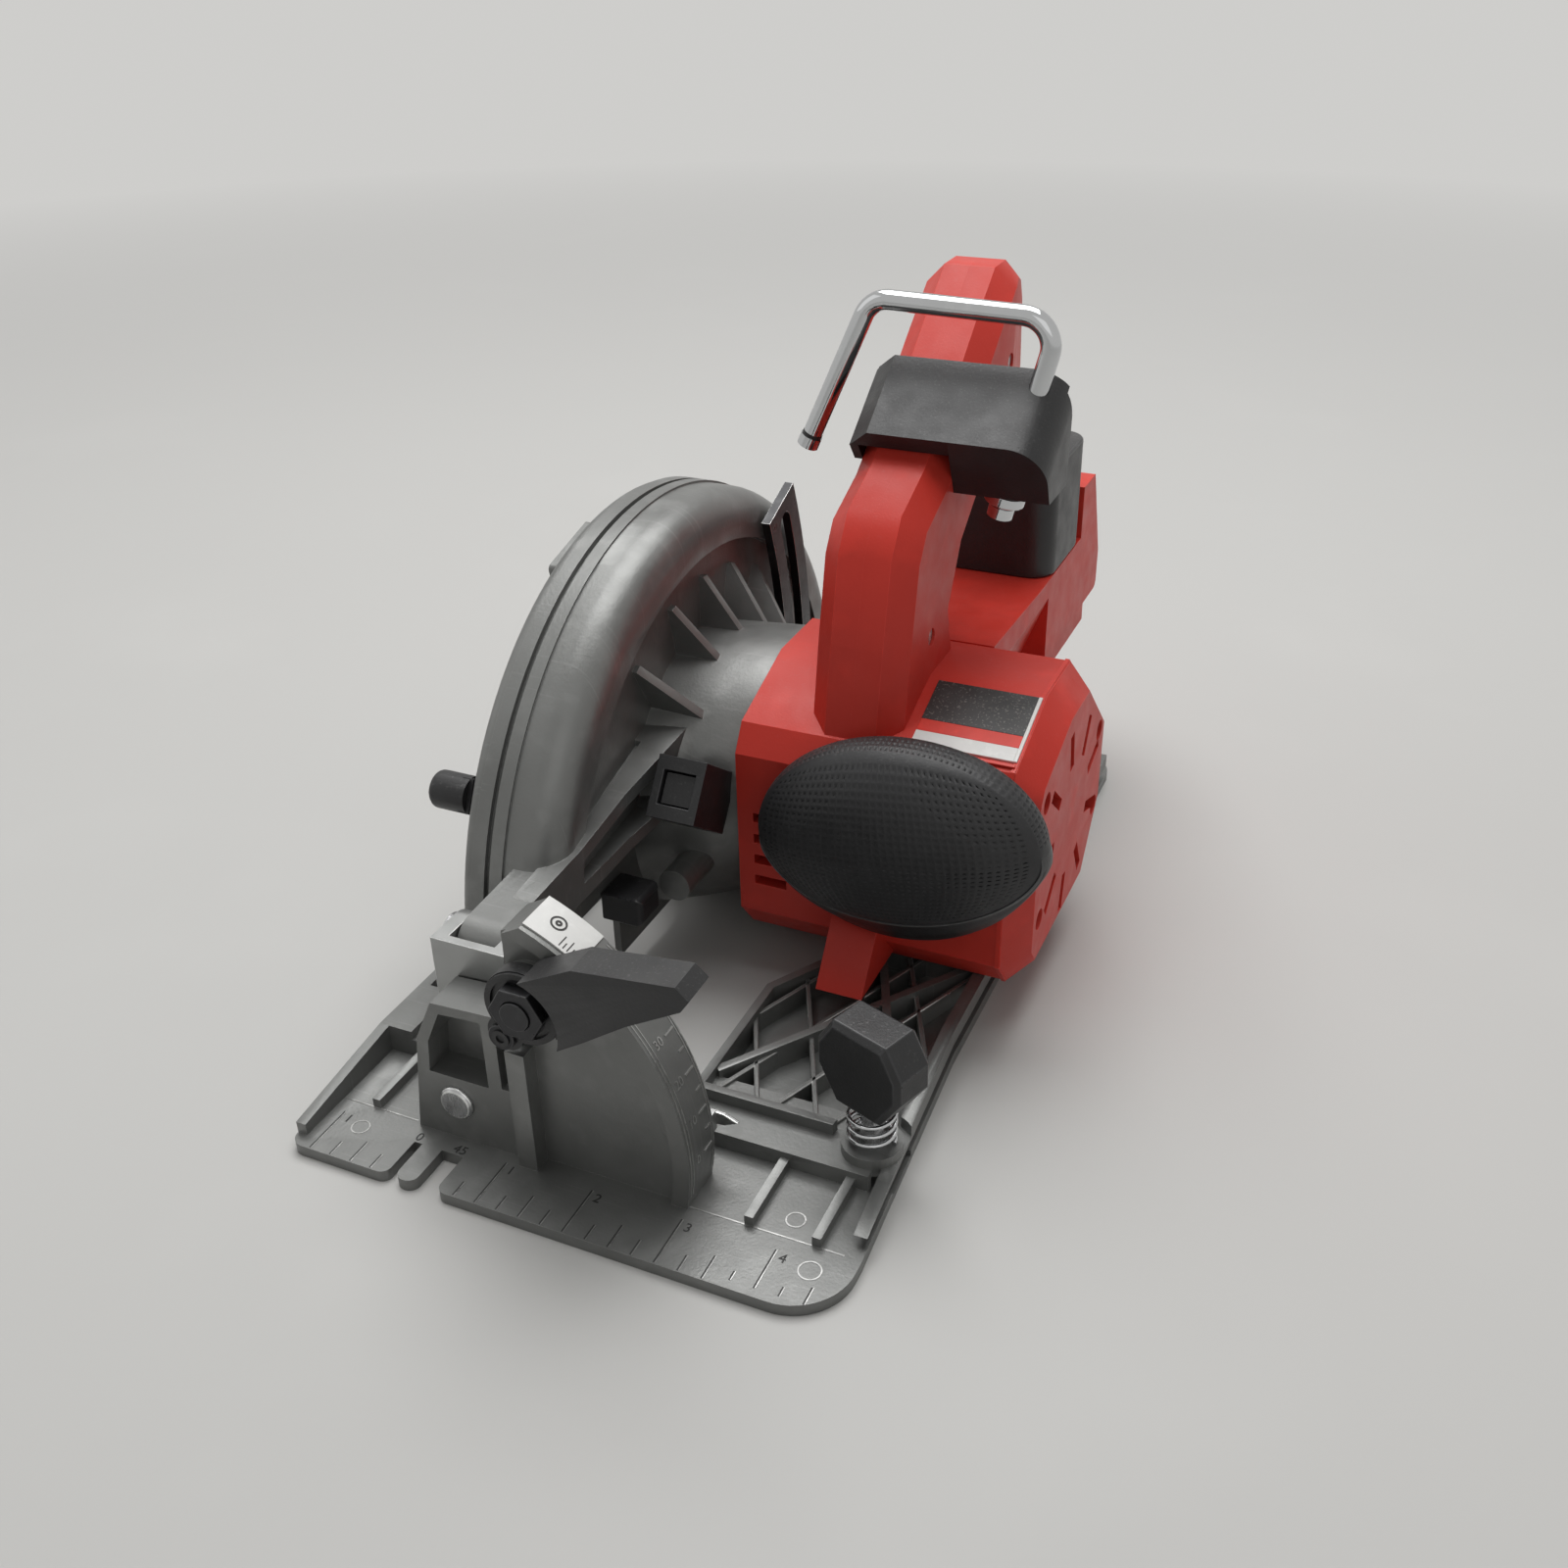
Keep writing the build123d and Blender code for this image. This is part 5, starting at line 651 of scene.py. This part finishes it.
class SAW_OT_bevel_scale(bpy.types.Operator):
    """Put the degree scale and its white plate on the quadrant's rim"""

    bl_idname = "saw.bevel_scale"
    bl_label = "Bevel scale"
    # Raised scale: degrees, long and short ticks, their half width, height and place on the rim, digits
    DEGREES = range(0, 51, 5)
    LONG, SHORT, TICK_HALF, TICK_H, TICK_IN = 4.0, 2.4, 0.25, 0.2, 1.6
    DIGIT_H, DIGIT_IN, DIGIT_OUT = 3.6, 5.2, 0.1
    # Lines round the rim, bright with a painted highlight: places, width, height and ends in degrees
    LINES = (QUAD_FRONT + 1.0, QUAD_FRONT + 2.2, QUAD_REAR - 1.3, QUAD_REAR - 0.5)
    LINE_W, LINE_H, LINE_SUNK, LINE_ENDS = 0.3, 0.22, 0.1, (-8, 52)
    # White plate: edges, ends in degrees and thickness, with its ticks and its round mark
    PLATE_IN, PLATE_BACK, PLATE_ENDS, PLATE_T = 1.6, 0.2, (53.5, 67.5), 0.5
    PLATE_DEGREES = range(54, 60)
    PLATE_LONG, PLATE_SHORT, PLATE_TICK_HALF, PLATE_TICK_IN = 3.6, 2.0, 0.15, 2.4
    PLATE_MARK_LOW, PLATE_MARK_TOP = 0.4, 0.56
    ROUND_AT, ROUND_Y, ROUND_OUT, ROUND_H = 62, -3.0, 0.35, 0.25
    ROUNDS = ((1.7, 2.2), (0.3, 0.9))

    def execute(self, context):
        """Raised scale, then the plate."""
        self.scale()
        self.plate()
        return {"FINISHED"}

    def scale(self):
        """Ticks, digits and edge lines, in the lighter edge finish: the lines are painted highlight, the
        raised ticks and digits partly so.
        """
        raised, lines = bmesh.new(), bmesh.new()
        upright = Matrix.Rotation(pi / 2, 4, "Z") @ Matrix.Rotation(pi / 2, 4, "X")
        rear = QUAD_REAR - self.TICK_IN
        for degree in self.DEGREES:
            reach = self.LONG if degree % 10 == 0 else self.SHORT
            drum_mark(raised, degree, (QUAD_R - self.TICK_H, rear - reach, -self.TICK_HALF),
                      (QUAD_R + self.TICK_H, rear, self.TICK_HALF))
            if degree % 10 == 0:
                out = Matrix.Translation(((QUAD_R + self.DIGIT_OUT) * MM, 0, 0))
                spot = on_drum(degree, QUAD_FRONT + self.DIGIT_IN) @ out
                lettering(raised, str(degree), self.DIGIT_H * MM, spot @ upright)
        for y in self.LINES:
            arc_strip(lines, QUAD_R - self.LINE_SUNK, y, y + self.LINE_W, *self.LINE_ENDS, self.LINE_H)
        place_piece("bevel_scale", raised, "shoe", "cast_gray", "cast_edge")
        place_piece("bevel_scale_highlight_lines", lines, "shoe", "cast_gray", "cast_edge")

    def plate(self):
        """White plate with its ticks and its round mark."""
        plate, marks = bmesh.new(), bmesh.new()
        arc_strip(plate, QUAD_R, QUAD_FRONT + self.PLATE_IN, QUAD_REAR - self.PLATE_BACK, *self.PLATE_ENDS,
                  self.PLATE_T)
        front = QUAD_FRONT + self.PLATE_TICK_IN
        for degree in self.PLATE_DEGREES:
            reach = self.PLATE_LONG if degree % 2 else self.PLATE_SHORT
            drum_mark(marks, degree, (QUAD_R + self.PLATE_MARK_LOW, front, -self.PLATE_TICK_HALF),
                      (QUAD_R + self.PLATE_MARK_TOP, front + reach, self.PLATE_TICK_HALF))
        way = Vector((cos(radians(self.ROUND_AT)), 0, sin(radians(self.ROUND_AT))))
        centre = Vector((BEVEL_X, self.ROUND_Y, BEVEL_Z)) + way * (QUAD_R + self.ROUND_OUT)
        for inner, outer in self.ROUNDS:
            ring(marks, centre, way, inner, outer, self.ROUND_H)
        place_piece("scale_plate", plate, "shoe", "zinc", "white_paint", smooth=30)
        place_piece("scale_plate_marks", marks, "shoe", "zinc", "dark_mark")


class SAW_OT_bevel_lever(bpy.types.Operator):
    """Finish the bevel lever with its nut, its screw and the ring round the hub"""

    bl_idname = "saw.bevel_lever"
    bl_label = "Bevel lever"
    # Rings round the hub and on the screw: sunk, inner and outer radius, height, steps
    HUB_RING = (0.2, 8.6, 10.2, 1.0, 56)
    SCREW_RING = (0.1, 1.2, 2.4, 0.5, 24)

    def execute(self, context):
        """Lever, nut, screw and hub ring."""
        s = sizes()
        softened("bevel_lever", s.black_edge * HANDLED, 3, finishes=("worn_black", "black_edge"))
        for node in ("lever_nut", "lever_screw", "lock_bolt"):
            softened(node, s.steel_edge, finishes=("dark_screw", "black_edge"))
        low, high = (Vector(corner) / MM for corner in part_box("lever_screw"))
        middle = (low + high) / 2
        bm = bmesh.new()
        for (x, y, z), (sunk, *shape) in (((LOCK_X, HUB_FRONT, LOCK_Z), self.HUB_RING),
                                          ((middle.x, low.y, middle.z), self.SCREW_RING)):
            ring(bm, (x, y + sunk, z), (0, -1, 0), *shape)
        place_piece("lever_ring", bm, "bevel_lever", "black_plastic", "black_nylon", smooth=30)
        return {"FINISHED"}


class SAW_OT_fence_knob(bpy.types.Operator):
    """Finish the rip-fence knob and wind its spring"""

    bl_idname = "saw.fence_knob"
    bl_label = "Rip-fence knob"
    COIL_R = 6.0
    # Room at the lower end and at both ends, in widths of the wire
    LIFT, ROOM = 0.55, 1.4
    WIRE_SIDES, TURN_STEPS = 10, 28

    def execute(self, context):
        """Knob and spring."""
        s = sizes()
        softened("fence_knob", s.black_edge * KNOBBED, 3)
        bm = bmesh.new()
        centre = Vector((KNOB_X, KNOB_Y, BOSS_TOP)) * MM
        start = centre + Vector((self.COIL_R * MM, 0, s.wire * self.LIFT))
        upright = Matrix.Translation(start) @ Matrix.Rotation(pi / 2, 4, "X")
        made = bmesh.ops.create_circle(bm, segments=self.WIRE_SIDES, radius=s.wire / 2, matrix=upright)
        verts = made["verts"]
        edges = list({edge for vert in verts for edge in vert.link_edges})
        rise = (KNOB_BOTTOM - BOSS_TOP) * MM - s.wire * self.ROOM
        steps = round(self.TURN_STEPS * s.turns)
        bmesh.ops.spin(bm, geom=verts + edges, cent=centre, axis=(0, 0, 1), dvec=(0, 0, rise / steps),
                       angle=2 * pi * s.turns, steps=steps, use_merge=False)
        bmesh.ops.holes_fill(bm, edges=[edge for edge in bm.edges if edge.is_boundary])
        bmesh.ops.recalc_face_normals(bm, faces=bm.faces)
        spring = place_piece("knob_spring", bm, "shoe", "steel", "bright_wire", smooth=40)
        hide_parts("fence_spring")
        return {"FINISHED"}


class SAW_OT_tilt_frame(bpy.types.Operator):
    """Finish the plated tilt bracket, the depth plate and their pins"""

    bl_idname = "saw.tilt_frame"
    bl_label = "Tilt frame"

    def execute(self, context):
        """Brackets, depth plate, pins and pointer."""
        s = sizes()
        for node in ("tilt_bracket", "rear_bracket", "bevel_pointer"):
            softened(node, s.steel_edge)
        softened("depth_plate", s.steel_edge, finishes=("dark_screw", "plated_edge"))
        for node in ("bevel_pin_front", "bevel_pin_rear", "depth_pin", "fence_screw", "depth_bolt"):
            softened(node, s.steel_edge)
        softened("depth_lever", s.black_edge)
        return {"FINISHED"}


class SAW_OT_guards(bpy.types.Operator):
    """Finish the lower guard with its knob, the spindle and the blade seat"""

    bl_idname = "saw.guards"
    bl_label = "Guards and spindle"

    def execute(self, context):
        """Lower guard, retract knob and the turned pieces at the blade."""
        s = sizes()
        softened("lower_guard", s.steel_edge)
        softened("guard_lever", s.black_edge)
        for node in ("spindle", "inner_flange", "outer_flange", "blade_bolt", "guard_retainer"):
            softened(node, s.steel_edge * FINE)
        return {"FINISHED"}


class SAW_OT_lock_block(bpy.types.Operator):
    """Finish the spindle-lock block, its button and the bumper"""

    bl_idname = "saw.lock_block"
    bl_label = "Spindle lock"

    def execute(self, context):
        """Block, button and bumper."""
        s = sizes()
        for node in ("lock_housing", "spindle_lock_button", "bumper"):
            softened(node, s.black_edge * FINE)
        return {"FINISHED"}


class SAW_OT_motor(bpy.types.Operator):
    """Finish the motor housing with its end seam, screws and label strips"""

    bl_idname = "saw.motor"
    bl_label = "Motor housing"
    # End seam: left out is what lies nearer the motor's axis or faces its end; height of the seam
    INSIDE_R, END_FACING, SEAM_H = 36.5, 0.9, 0.35
    # Label on the slope: name, finish, slot, left, right, front, back and height
    BORDER = LABEL_RIGHT - 1.0
    LABEL = (("label_foil", "foil", "black_plastic", LABEL_LEFT, BORDER, 12.6, 27.6, 0.8),
             ("label_red", "red_edge", "red_plastic", LABEL_LEFT, BORDER, 8.2, 12.6, 0.8),
             ("label_white", "white_paint", "zinc", LABEL_LEFT, BORDER, 3.3, 8.2, 0.8),
             ("label_border", "white_paint", "zinc", BORDER, LABEL_RIGHT, 3.3, 27.6, 0.9),
             ("label_lip", "red_edge", "red_plastic", LABEL_LEFT, LABEL_RIGHT, 1.2, 2.4, 0.9))
    LABEL_SUNK, LABEL_EDGE = 0.2, 0.15

    def execute(self, context):
        """Housing, screws, seam and label."""
        s = sizes()
        softened("motor_housing", s.soft_edge, MOULD_STEPS, MOULD_ANGLE, weigh=main_edges)
        softened("housing_screws", s.steel_edge, finishes=("dark_screw", "black_edge"))
        self.end_seam()
        self.label()
        return {"FINISHED"}

    def end_seam(self):
        """Thin raised band round the housing, cut from its own surface."""
        band = merged_copy("motor_housing")
        for offset, way in ((SEAM_LEFT, -1), (SEAM_RIGHT, 1)):
            bmesh.ops.bisect_plane(band, geom=band.verts[:] + band.edges[:] + band.faces[:], dist=ON_CUT * MM,
                                   plane_co=(offset * MM, 0, 0), plane_no=(way, 0, 0), clear_outer=True)
        inner = []
        for face in band.faces:
            middle = face.calc_center_median() / MM
            from_axis = sqrt((middle.y - MOTOR_Y) ** 2 + (middle.z - MOTOR_Z) ** 2)
            if from_axis < self.INSIDE_R or abs(face.normal.x) > self.END_FACING:
                inner.append(face)
        bmesh.ops.delete(band, geom=inner, context="FACES")
        bmesh.ops.solidify(band, geom=band.faces[:], thickness=-self.SEAM_H * MM)
        place_piece("end_seam", band, "saw_body", "red_plastic", "red_edge", smooth=30)

    def label(self):
        """Foil, stripes, border and lip on the slope."""
        slope = (Matrix.Translation(Vector((0, SLOPE_Y, SLOPE_Z)) * MM)
                 @ Matrix.Rotation(radians(SLOPE_TURN), 4, "X"))
        for name, kind, slot, x0, x1, y0, y1, top in self.LABEL:
            bm = bmesh.new()
            box(bm, (x0, y0, -self.LABEL_SUNK), (x1, y1, top))
            bmesh.ops.bevel(bm, geom=bm.edges[:], offset=self.LABEL_EDGE * MM, offset_type="OFFSET",
                            affect="EDGES", segments=2, profile=0.5, material=-1)
            bmesh.ops.transform(bm, matrix=slope, verts=bm.verts[:])
            piece = place_piece(name, bm, "saw_body", slot, kind)
            if name == "label_foil":
                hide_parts("label_plate")


class SAW_OT_front_grip(bpy.types.Operator):
    """Mould the domed front grip with its rows of dimples, its seam and its smooth lower shell"""

    bl_idname = "saw.front_grip"
    bl_label = "Front grip"
    RUBBER, LIP, SHELL = 0, 1, 2
    # Steps outwards and backwards: of the seam, with their finish, and of the side; the lip's lighter finish
    # is partly painted highlight
    SEAM = ((0.5, 0.6, RUBBER), (0.2, -0.3, LIP), (0.5, 0.2, LIP), (0.2, 0.3, LIP))
    SIDE = ((0.5, 2.2), (0.2, 2.2), (-0.1, 2.2), (-0.6, 2.2), (-1.4, 2.2), (-2.2, 1.4))
    # Dome: half axes, depth, and the share of the depth that is plainly round
    HALF_X, HALF_Z = POMMEL_A - 1.4, POMMEL_B - 1.4
    CROWN, PLAIN = 10.5, 0.55
    # Share of the dome's lower half above the seam, and how far down the seam has its full size
    SEAM_DROP, SEAM_FADE = 0.70, 5.0
    # Shares of the way from the seam to the outline, and how near the middle a point stays
    SPREAD, LEVEL = (0.33, 0.5, 1.0), 0.01
    # Dimples: wall round each, height above the middle from which the side has them, and merging distance
    PIT_WALL, PIT_FROM, MERGE = 0.42, 2.0, 0.01

    def dome(self, x, z):
        """Depth of the dome at a place, in millimetres."""
        reach = min(1, (x / self.HALF_X) ** 2 + (z / self.HALF_Z) ** 2)
        return POMMEL_FRONT + self.CROWN * (self.PLAIN * reach + (1 - self.PLAIN) * reach ** 3)

    def step(self, bm, rim, kind, move):
        """Extrude the rim and move its points; the new faces take their finish below the middle only."""
        made = bmesh.ops.extrude_edge_only(bm, edges=rim)["geom"]
        for vert in (item for item in made if isinstance(item, bmesh.types.BMVert)):
            vert.co = move(vert.co / MM) * MM
        faces = [item for item in made if isinstance(item, bmesh.types.BMFace)]
        for face in faces:
            face.material_index = kind if face.calc_center_median().z < 0 else self.RUBBER
        return [item for item in made if isinstance(item, bmesh.types.BMEdge) and item.is_boundary], faces

    def outwards(self, grow, back, fade=0):
        """Move of a point outwards and backwards, growing from the middle downwards where a fade is given."""
        def move(co):
            share = min(1, max(0, -co.z / fade)) if fade else 1
            way = Vector((co.x, 0, co.z)).normalized()
            return co + (way * grow + Vector((0, back, 0))) * share
        return move

    def spread(self, share):
        """Move of a point below the middle down the dome, by a share of the way to the outline."""
        def move(co):
            if co.z > -self.LEVEL:
                return co
            edge = co.z / sqrt((co.x / POMMEL_A) ** 2 + (co.z / POMMEL_B) ** 2)
            full = co.z + (edge - co.z) * share * sqrt(co.z / edge)
            return Vector((co.x, max(co.y, self.dome(co.x, full)), full))
        return move

    def dome_grid(self):
        """Grid laid over the dome, its lower half drawn up to the seam."""
        rows = sizes().pebbles
        bm = bmesh.new()
        bmesh.ops.create_grid(bm, x_segments=rows, y_segments=round(rows * POMMEL_B / POMMEL_A), size=1)
        for vert in bm.verts:
            u, v = vert.co.x, vert.co.y
            x = u * sqrt(1 - v * v / 2) * self.HALF_X
            z = v * sqrt(1 - u * u / 2) * self.HALF_Z * (1 if v > 0 else self.SEAM_DROP)
            vert.co = Vector((x, self.dome(x, z), z)) * MM
        bmesh.ops.recalc_face_normals(bm, faces=bm.faces)
        return bm

    def execute(self, context):
        """Dome, seam, lower shell, side and back."""
        bm = self.dome_grid()
        rim = [edge for edge in bm.edges if edge.is_boundary]
        pits = [face for face in bm.faces if not any(edge.is_boundary for edge in face.edges)]
        for grow, back, kind in self.SEAM:
            rim = self.step(bm, rim, kind, self.outwards(grow, back, self.SEAM_FADE))[0]
        for share in self.SPREAD:
            rim = self.step(bm, rim, self.SHELL, self.spread(share))[0]
        for grow, back in self.SIDE:
            rim, faces = self.step(bm, rim, self.SHELL, self.outwards(grow, back))
            pits += [face for face in faces if face.calc_center_median().z > self.PIT_FROM * MM]
        bmesh.ops.holes_fill(bm, edges=rim)
        bmesh.ops.recalc_face_normals(bm, faces=bm.faces)
        bmesh.ops.inset_individual(bm, faces=pits, thickness=self.PIT_WALL * MM, depth=0,
                                   use_even_offset=True)
        bmesh.ops.poke(bm, faces=pits, offset=-sizes().pebble)
        bmesh.ops.remove_doubles(bm, verts=bm.verts, dist=self.MERGE * MM)
        place = (Matrix.Translation(Vector((POMMEL_X, 0, POMMEL_Z)) * MM)
                 @ Matrix.Rotation(-radians(POMMEL_TURN), 4, "Y"))
        bmesh.ops.transform(bm, matrix=place, verts=bm.verts[:])
        grip = place_piece("front_grip", bm, "saw_body", "black_rubber", "grip_rubber", "seam_line",
                           "black_nylon", smooth=60)
        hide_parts("pommel_grip")
        return {"FINISHED"}


class SAW_OT_handle(bpy.types.Operator):
    """Finish the handle halves, the trigger and the lock-off button"""

    bl_idname = "saw.handle"
    bl_label = "Handle"

    def execute(self, context):
        """Halves, screws, trigger and button."""
        s = sizes()
        for node in ("handle_left", "handle_right"):
            softened(node, s.soft_edge, MOULD_STEPS, MOULD_ANGLE, weigh=main_edges)
        for node in ("trigger", "lock_off_button"):
            softened(node, s.black_edge)
        softened("handle_screws", s.steel_edge * FINE)
        return {"FINISHED"}


class SAW_OT_rafter_hook(bpy.types.Operator):
    """Finish the bright rafter hook and its clamp"""

    bl_idname = "saw.rafter_hook"
    bl_label = "Rafter hook"
    # Rings along the wire: distance from the end, then inner and outer radius, height and steps
    UPSET_END = (-3.2, 0.4, 3.2, 3.3, 32)
    # The end gap is a dark ring, painted shade in the gap behind the upset end
    END_GAP = (-4.2, 0.4, 2.9, 1.0, 32)
    LOWER_RING = (0.2, 0.4, 3.7, 3.2, 32)

    def execute(self, context):
        """Wire, upset end, the dark ring of painted shade in the end gap, lower ring and clamp."""
        s = sizes()
        softened("rafter_hook", s.steel_edge)
        tip, foot = Vector(HOOK_TIP), Vector(HOOK_LOW)
        along = (tip - Vector(HOOK_LEFT)).normalized()
        rod = (Vector(HOOK_RIGHT) - foot).normalized()
        bright, dark = bmesh.new(), bmesh.new()
        rings = ((bright, tip, along, self.UPSET_END), (dark, tip, along, self.END_GAP),
                 (bright, foot, rod, self.LOWER_RING))
        for bm, end, way, (away, *shape) in rings:
            ring(bm, end + way * away, way, *shape)
        body = BODY_OF["rafter_hook"]
        place_piece("hook_end", bright, body, "chrome", "bright_wire", smooth=30)
        # Dark ring of painted shade in the gap
        place_piece("hook_end_gap_shade", dark, body, "black_plastic", "dark_mark", smooth=30)
        softened("hook_clamp", s.black_edge * HANDLED, 3, finishes=("worn_black", "black_edge"))
        return {"FINISHED"}


class SAW_OT_rear(bpy.types.Operator):
    """Finish the rear block and the battery foot"""

    bl_idname = "saw.rear"
    bl_label = "Rear block and foot"

    def execute(self, context):
        """Block, foot and contacts."""
        s = sizes()
        softened("rear_block", s.black_edge * BROAD, 3)
        softened("battery_foot", s.soft_edge, MOULD_STEPS, FOOT_ANGLE, weigh=main_edges)
        softened("terminal_block", s.steel_edge)
        return {"FINISHED"}


class SAW_OT_inner_pieces(bpy.types.Operator):
    """Give the pieces inside the housings the finish of their slot"""

    bl_idname = "saw.inner_pieces"
    bl_label = "Inner pieces"

    def execute(self, context):
        """Every solid gets a material, also where a piece stands for it."""
        for node, slot in SLOT_OF.items():
            mesh = frame["nodes"][node].data
            mesh.materials.clear()
            mesh.materials.append(finish(FINISH_OF[slot][0]))
        return {"FINISHED"}


class SAW_OT_stage(bpy.types.Operator):
    """Lay the floor, hang the lights and set the camera"""

    bl_idname = "saw.stage"
    bl_label = "Floor, lights and camera"
    # In metres: half of the floor, where it starts to fade and has faded, and what the lights aim at
    FLOOR_HALF, FADE_FROM, FADE_TO = 12, 0.4, 1.5
    AIM = (0.05, 0.11, 0.06)
    LEFT_SHARE = 0.9
    # Camera: sensor in millimetres, and its right, up and backward directions
    SENSOR = 36
    AXES = ((0.9134, 0.4066, -0.0199), (-0.1894, 0.4676, 0.8634), (0.3604, -0.7848, 0.5041))
    EVEN_LIGHT = (0.80, 0.80, 0.79, 1)

    def execute(self, context):
        """Pale floor, soft light and the photograph's view."""
        scene = context.scene
        stage = scene.saw_stage
        bm = bmesh.new()
        bmesh.ops.create_grid(bm, x_segments=1, y_segments=1, size=self.FLOOR_HALF)
        mesh = bpy.data.meshes.new("floor")
        bm.to_mesh(mesh)
        bm.free()
        floor = bpy.data.objects.new("floor", mesh)
        scene.collection.objects.link(floor)
        mesh.materials.append(self.floor_finish(stage))
        self.camera(stage)
        for name, spot, size, power in (("top", (-0.05, 0.45, 1.25), 1.1, stage.top),
                                        ("front", (0.75, -1.0, 0.85), 1.0, stage.fill),
                                        ("left", (-0.95, -0.25, 0.75), 0.9, stage.fill * self.LEFT_SHARE)):
            light = bpy.data.lights.new(name, "AREA")
            light.size = size
            light.energy = power
            lamp = bpy.data.objects.new(name, light)
            aim = Vector(self.AIM) - Vector(spot)
            lamp.matrix_world = Matrix.Translation(spot) @ aim.to_track_quat("-Z", "Y").to_matrix().to_4x4()
            scene.collection.objects.link(lamp)
        self.surroundings(stage)
        scene.view_settings.view_transform = "Standard"
        return {"FINISHED"}

    def camera(self, stage):
        """Camera at the photograph's place."""
        data = bpy.data.cameras.new("camera")
        data.lens = stage.lens
        data.sensor_width = self.SENSOR
        view = bpy.data.objects.new("camera", data)
        view.matrix_world = Matrix.Translation(stage.place) @ Matrix(self.AXES).transposed().to_4x4()
        bpy.context.scene.collection.objects.link(view)
        bpy.context.scene.camera = view

    def seen(self, nodes, links):
        """One where a ray comes from the camera, a mirror or glass, else nothing."""
        path = nodes.new("ShaderNodeLightPath")
        total = path.outputs["Is Camera Ray"]
        for kind in ("Is Glossy Ray", "Is Transmission Ray"):
            add = nodes.new("ShaderNodeMath")
            add.operation = "MAXIMUM"
            links.new(total, add.inputs[0])
            links.new(path.outputs[kind], add.inputs[1])
            total = add.outputs["Value"]
        return total

    def floor_finish(self, stage):
        """Floor that takes the shadow near the saw and fades into the backdrop further out."""
        floor = Finish("floor", stage.floor, 0.8).clouds(3, 0.02)
        nodes, links = floor.nodes, floor.links
        away = nodes.new("ShaderNodeVectorMath")
        away.operation = "LENGTH"
        links.new(floor.coords.outputs["Object"], away.inputs[0])
        fade = floor.ramp(away.outputs["Value"], self.FADE_FROM, self.FADE_TO)
        amount = floor.times(fade, self.seen(nodes, links))
        glow = nodes.new("ShaderNodeEmission")
        glow.inputs["Color"].default_value = (*stage.backdrop, 1)
        mix = nodes.new("ShaderNodeMixShader")
        links.new(amount, mix.inputs["Fac"])
        links.new(floor.shader.outputs["BSDF"], mix.inputs[1])
        links.new(glow.outputs["Emission"], mix.inputs[2])
        links.new(mix.outputs["Shader"], nodes["Material Output"].inputs["Surface"])
        return floor.material

    def surroundings(self, stage):
        """Even light all round, seen as a pale backdrop."""
        world = bpy.data.worlds.new("studio")
        bpy.context.scene.world = world
        world.use_nodes = True
        nodes, links = world.node_tree.nodes, world.node_tree.links
        light = nodes["Background"]
        light.inputs["Color"].default_value = self.EVEN_LIGHT
        light.inputs["Strength"].default_value = stage.around
        backdrop = nodes.new("ShaderNodeBackground")
        backdrop.inputs["Color"].default_value = (*stage.backdrop, 1)
        mix = nodes.new("ShaderNodeMixShader")
        links.new(self.seen(nodes, links), mix.inputs["Fac"])
        links.new(light.outputs["Background"], mix.inputs[1])
        links.new(backdrop.outputs["Background"], mix.inputs[2])
        links.new(mix.outputs["Shader"], nodes["World Output"].inputs["Surface"])


OPERATORS = (SAW_OT_stage, SAW_OT_inner_pieces, SAW_OT_castings, SAW_OT_shoe_marks, SAW_OT_shoe_lattice,
             SAW_OT_bevel_scale, SAW_OT_bevel_lever, SAW_OT_fence_knob, SAW_OT_tilt_frame, SAW_OT_guards,
             SAW_OT_lock_block, SAW_OT_motor, SAW_OT_front_grip, SAW_OT_handle, SAW_OT_rafter_hook,
             SAW_OT_rear)


class VIEW3D_PT_saw(bpy.types.Panel):
    """Sidebar panel with the saw's settings and its operators"""

    bl_idname = "VIEW3D_PT_saw"
    bl_label = "Circular saw"
    bl_space_type = "VIEW_3D"
    bl_region_type = "UI"
    bl_category = "Saw"

    def draw(self, context):
        """List the settings and one button for each operator."""
        for group in (context.scene.saw_colours, context.scene.saw_sizes, context.scene.saw_stage):
            for name in group.__annotations__:
                self.layout.prop(group, name)
        for operator in OPERATORS:
            self.layout.operator(operator.bl_idname)


GROUPS = {"saw_colours": SawColours, "saw_sizes": SawSizes, "saw_stage": SawStage}


def register():
    """Register the settings, operators and panel."""
    for kind in (*GROUPS.values(), *OPERATORS, VIEW3D_PT_saw):
        bpy.utils.register_class(kind)
    for name, group in GROUPS.items():
        setattr(bpy.types.Scene, name, PointerProperty(type=group))


def unregister():
    """Take them out again."""
    for name in GROUPS:
        delattr(bpy.types.Scene, name)
    for kind in reversed((*GROUPS.values(), *OPERATORS, VIEW3D_PT_saw)):
        bpy.utils.unregister_class(kind)


def main():
    """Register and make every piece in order."""
    register()
    for operator in OPERATORS:
        area, name = operator.bl_idname.split(".")
        getattr(getattr(bpy.ops, area), name)()
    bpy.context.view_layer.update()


if __name__ == "__main__":
    main()
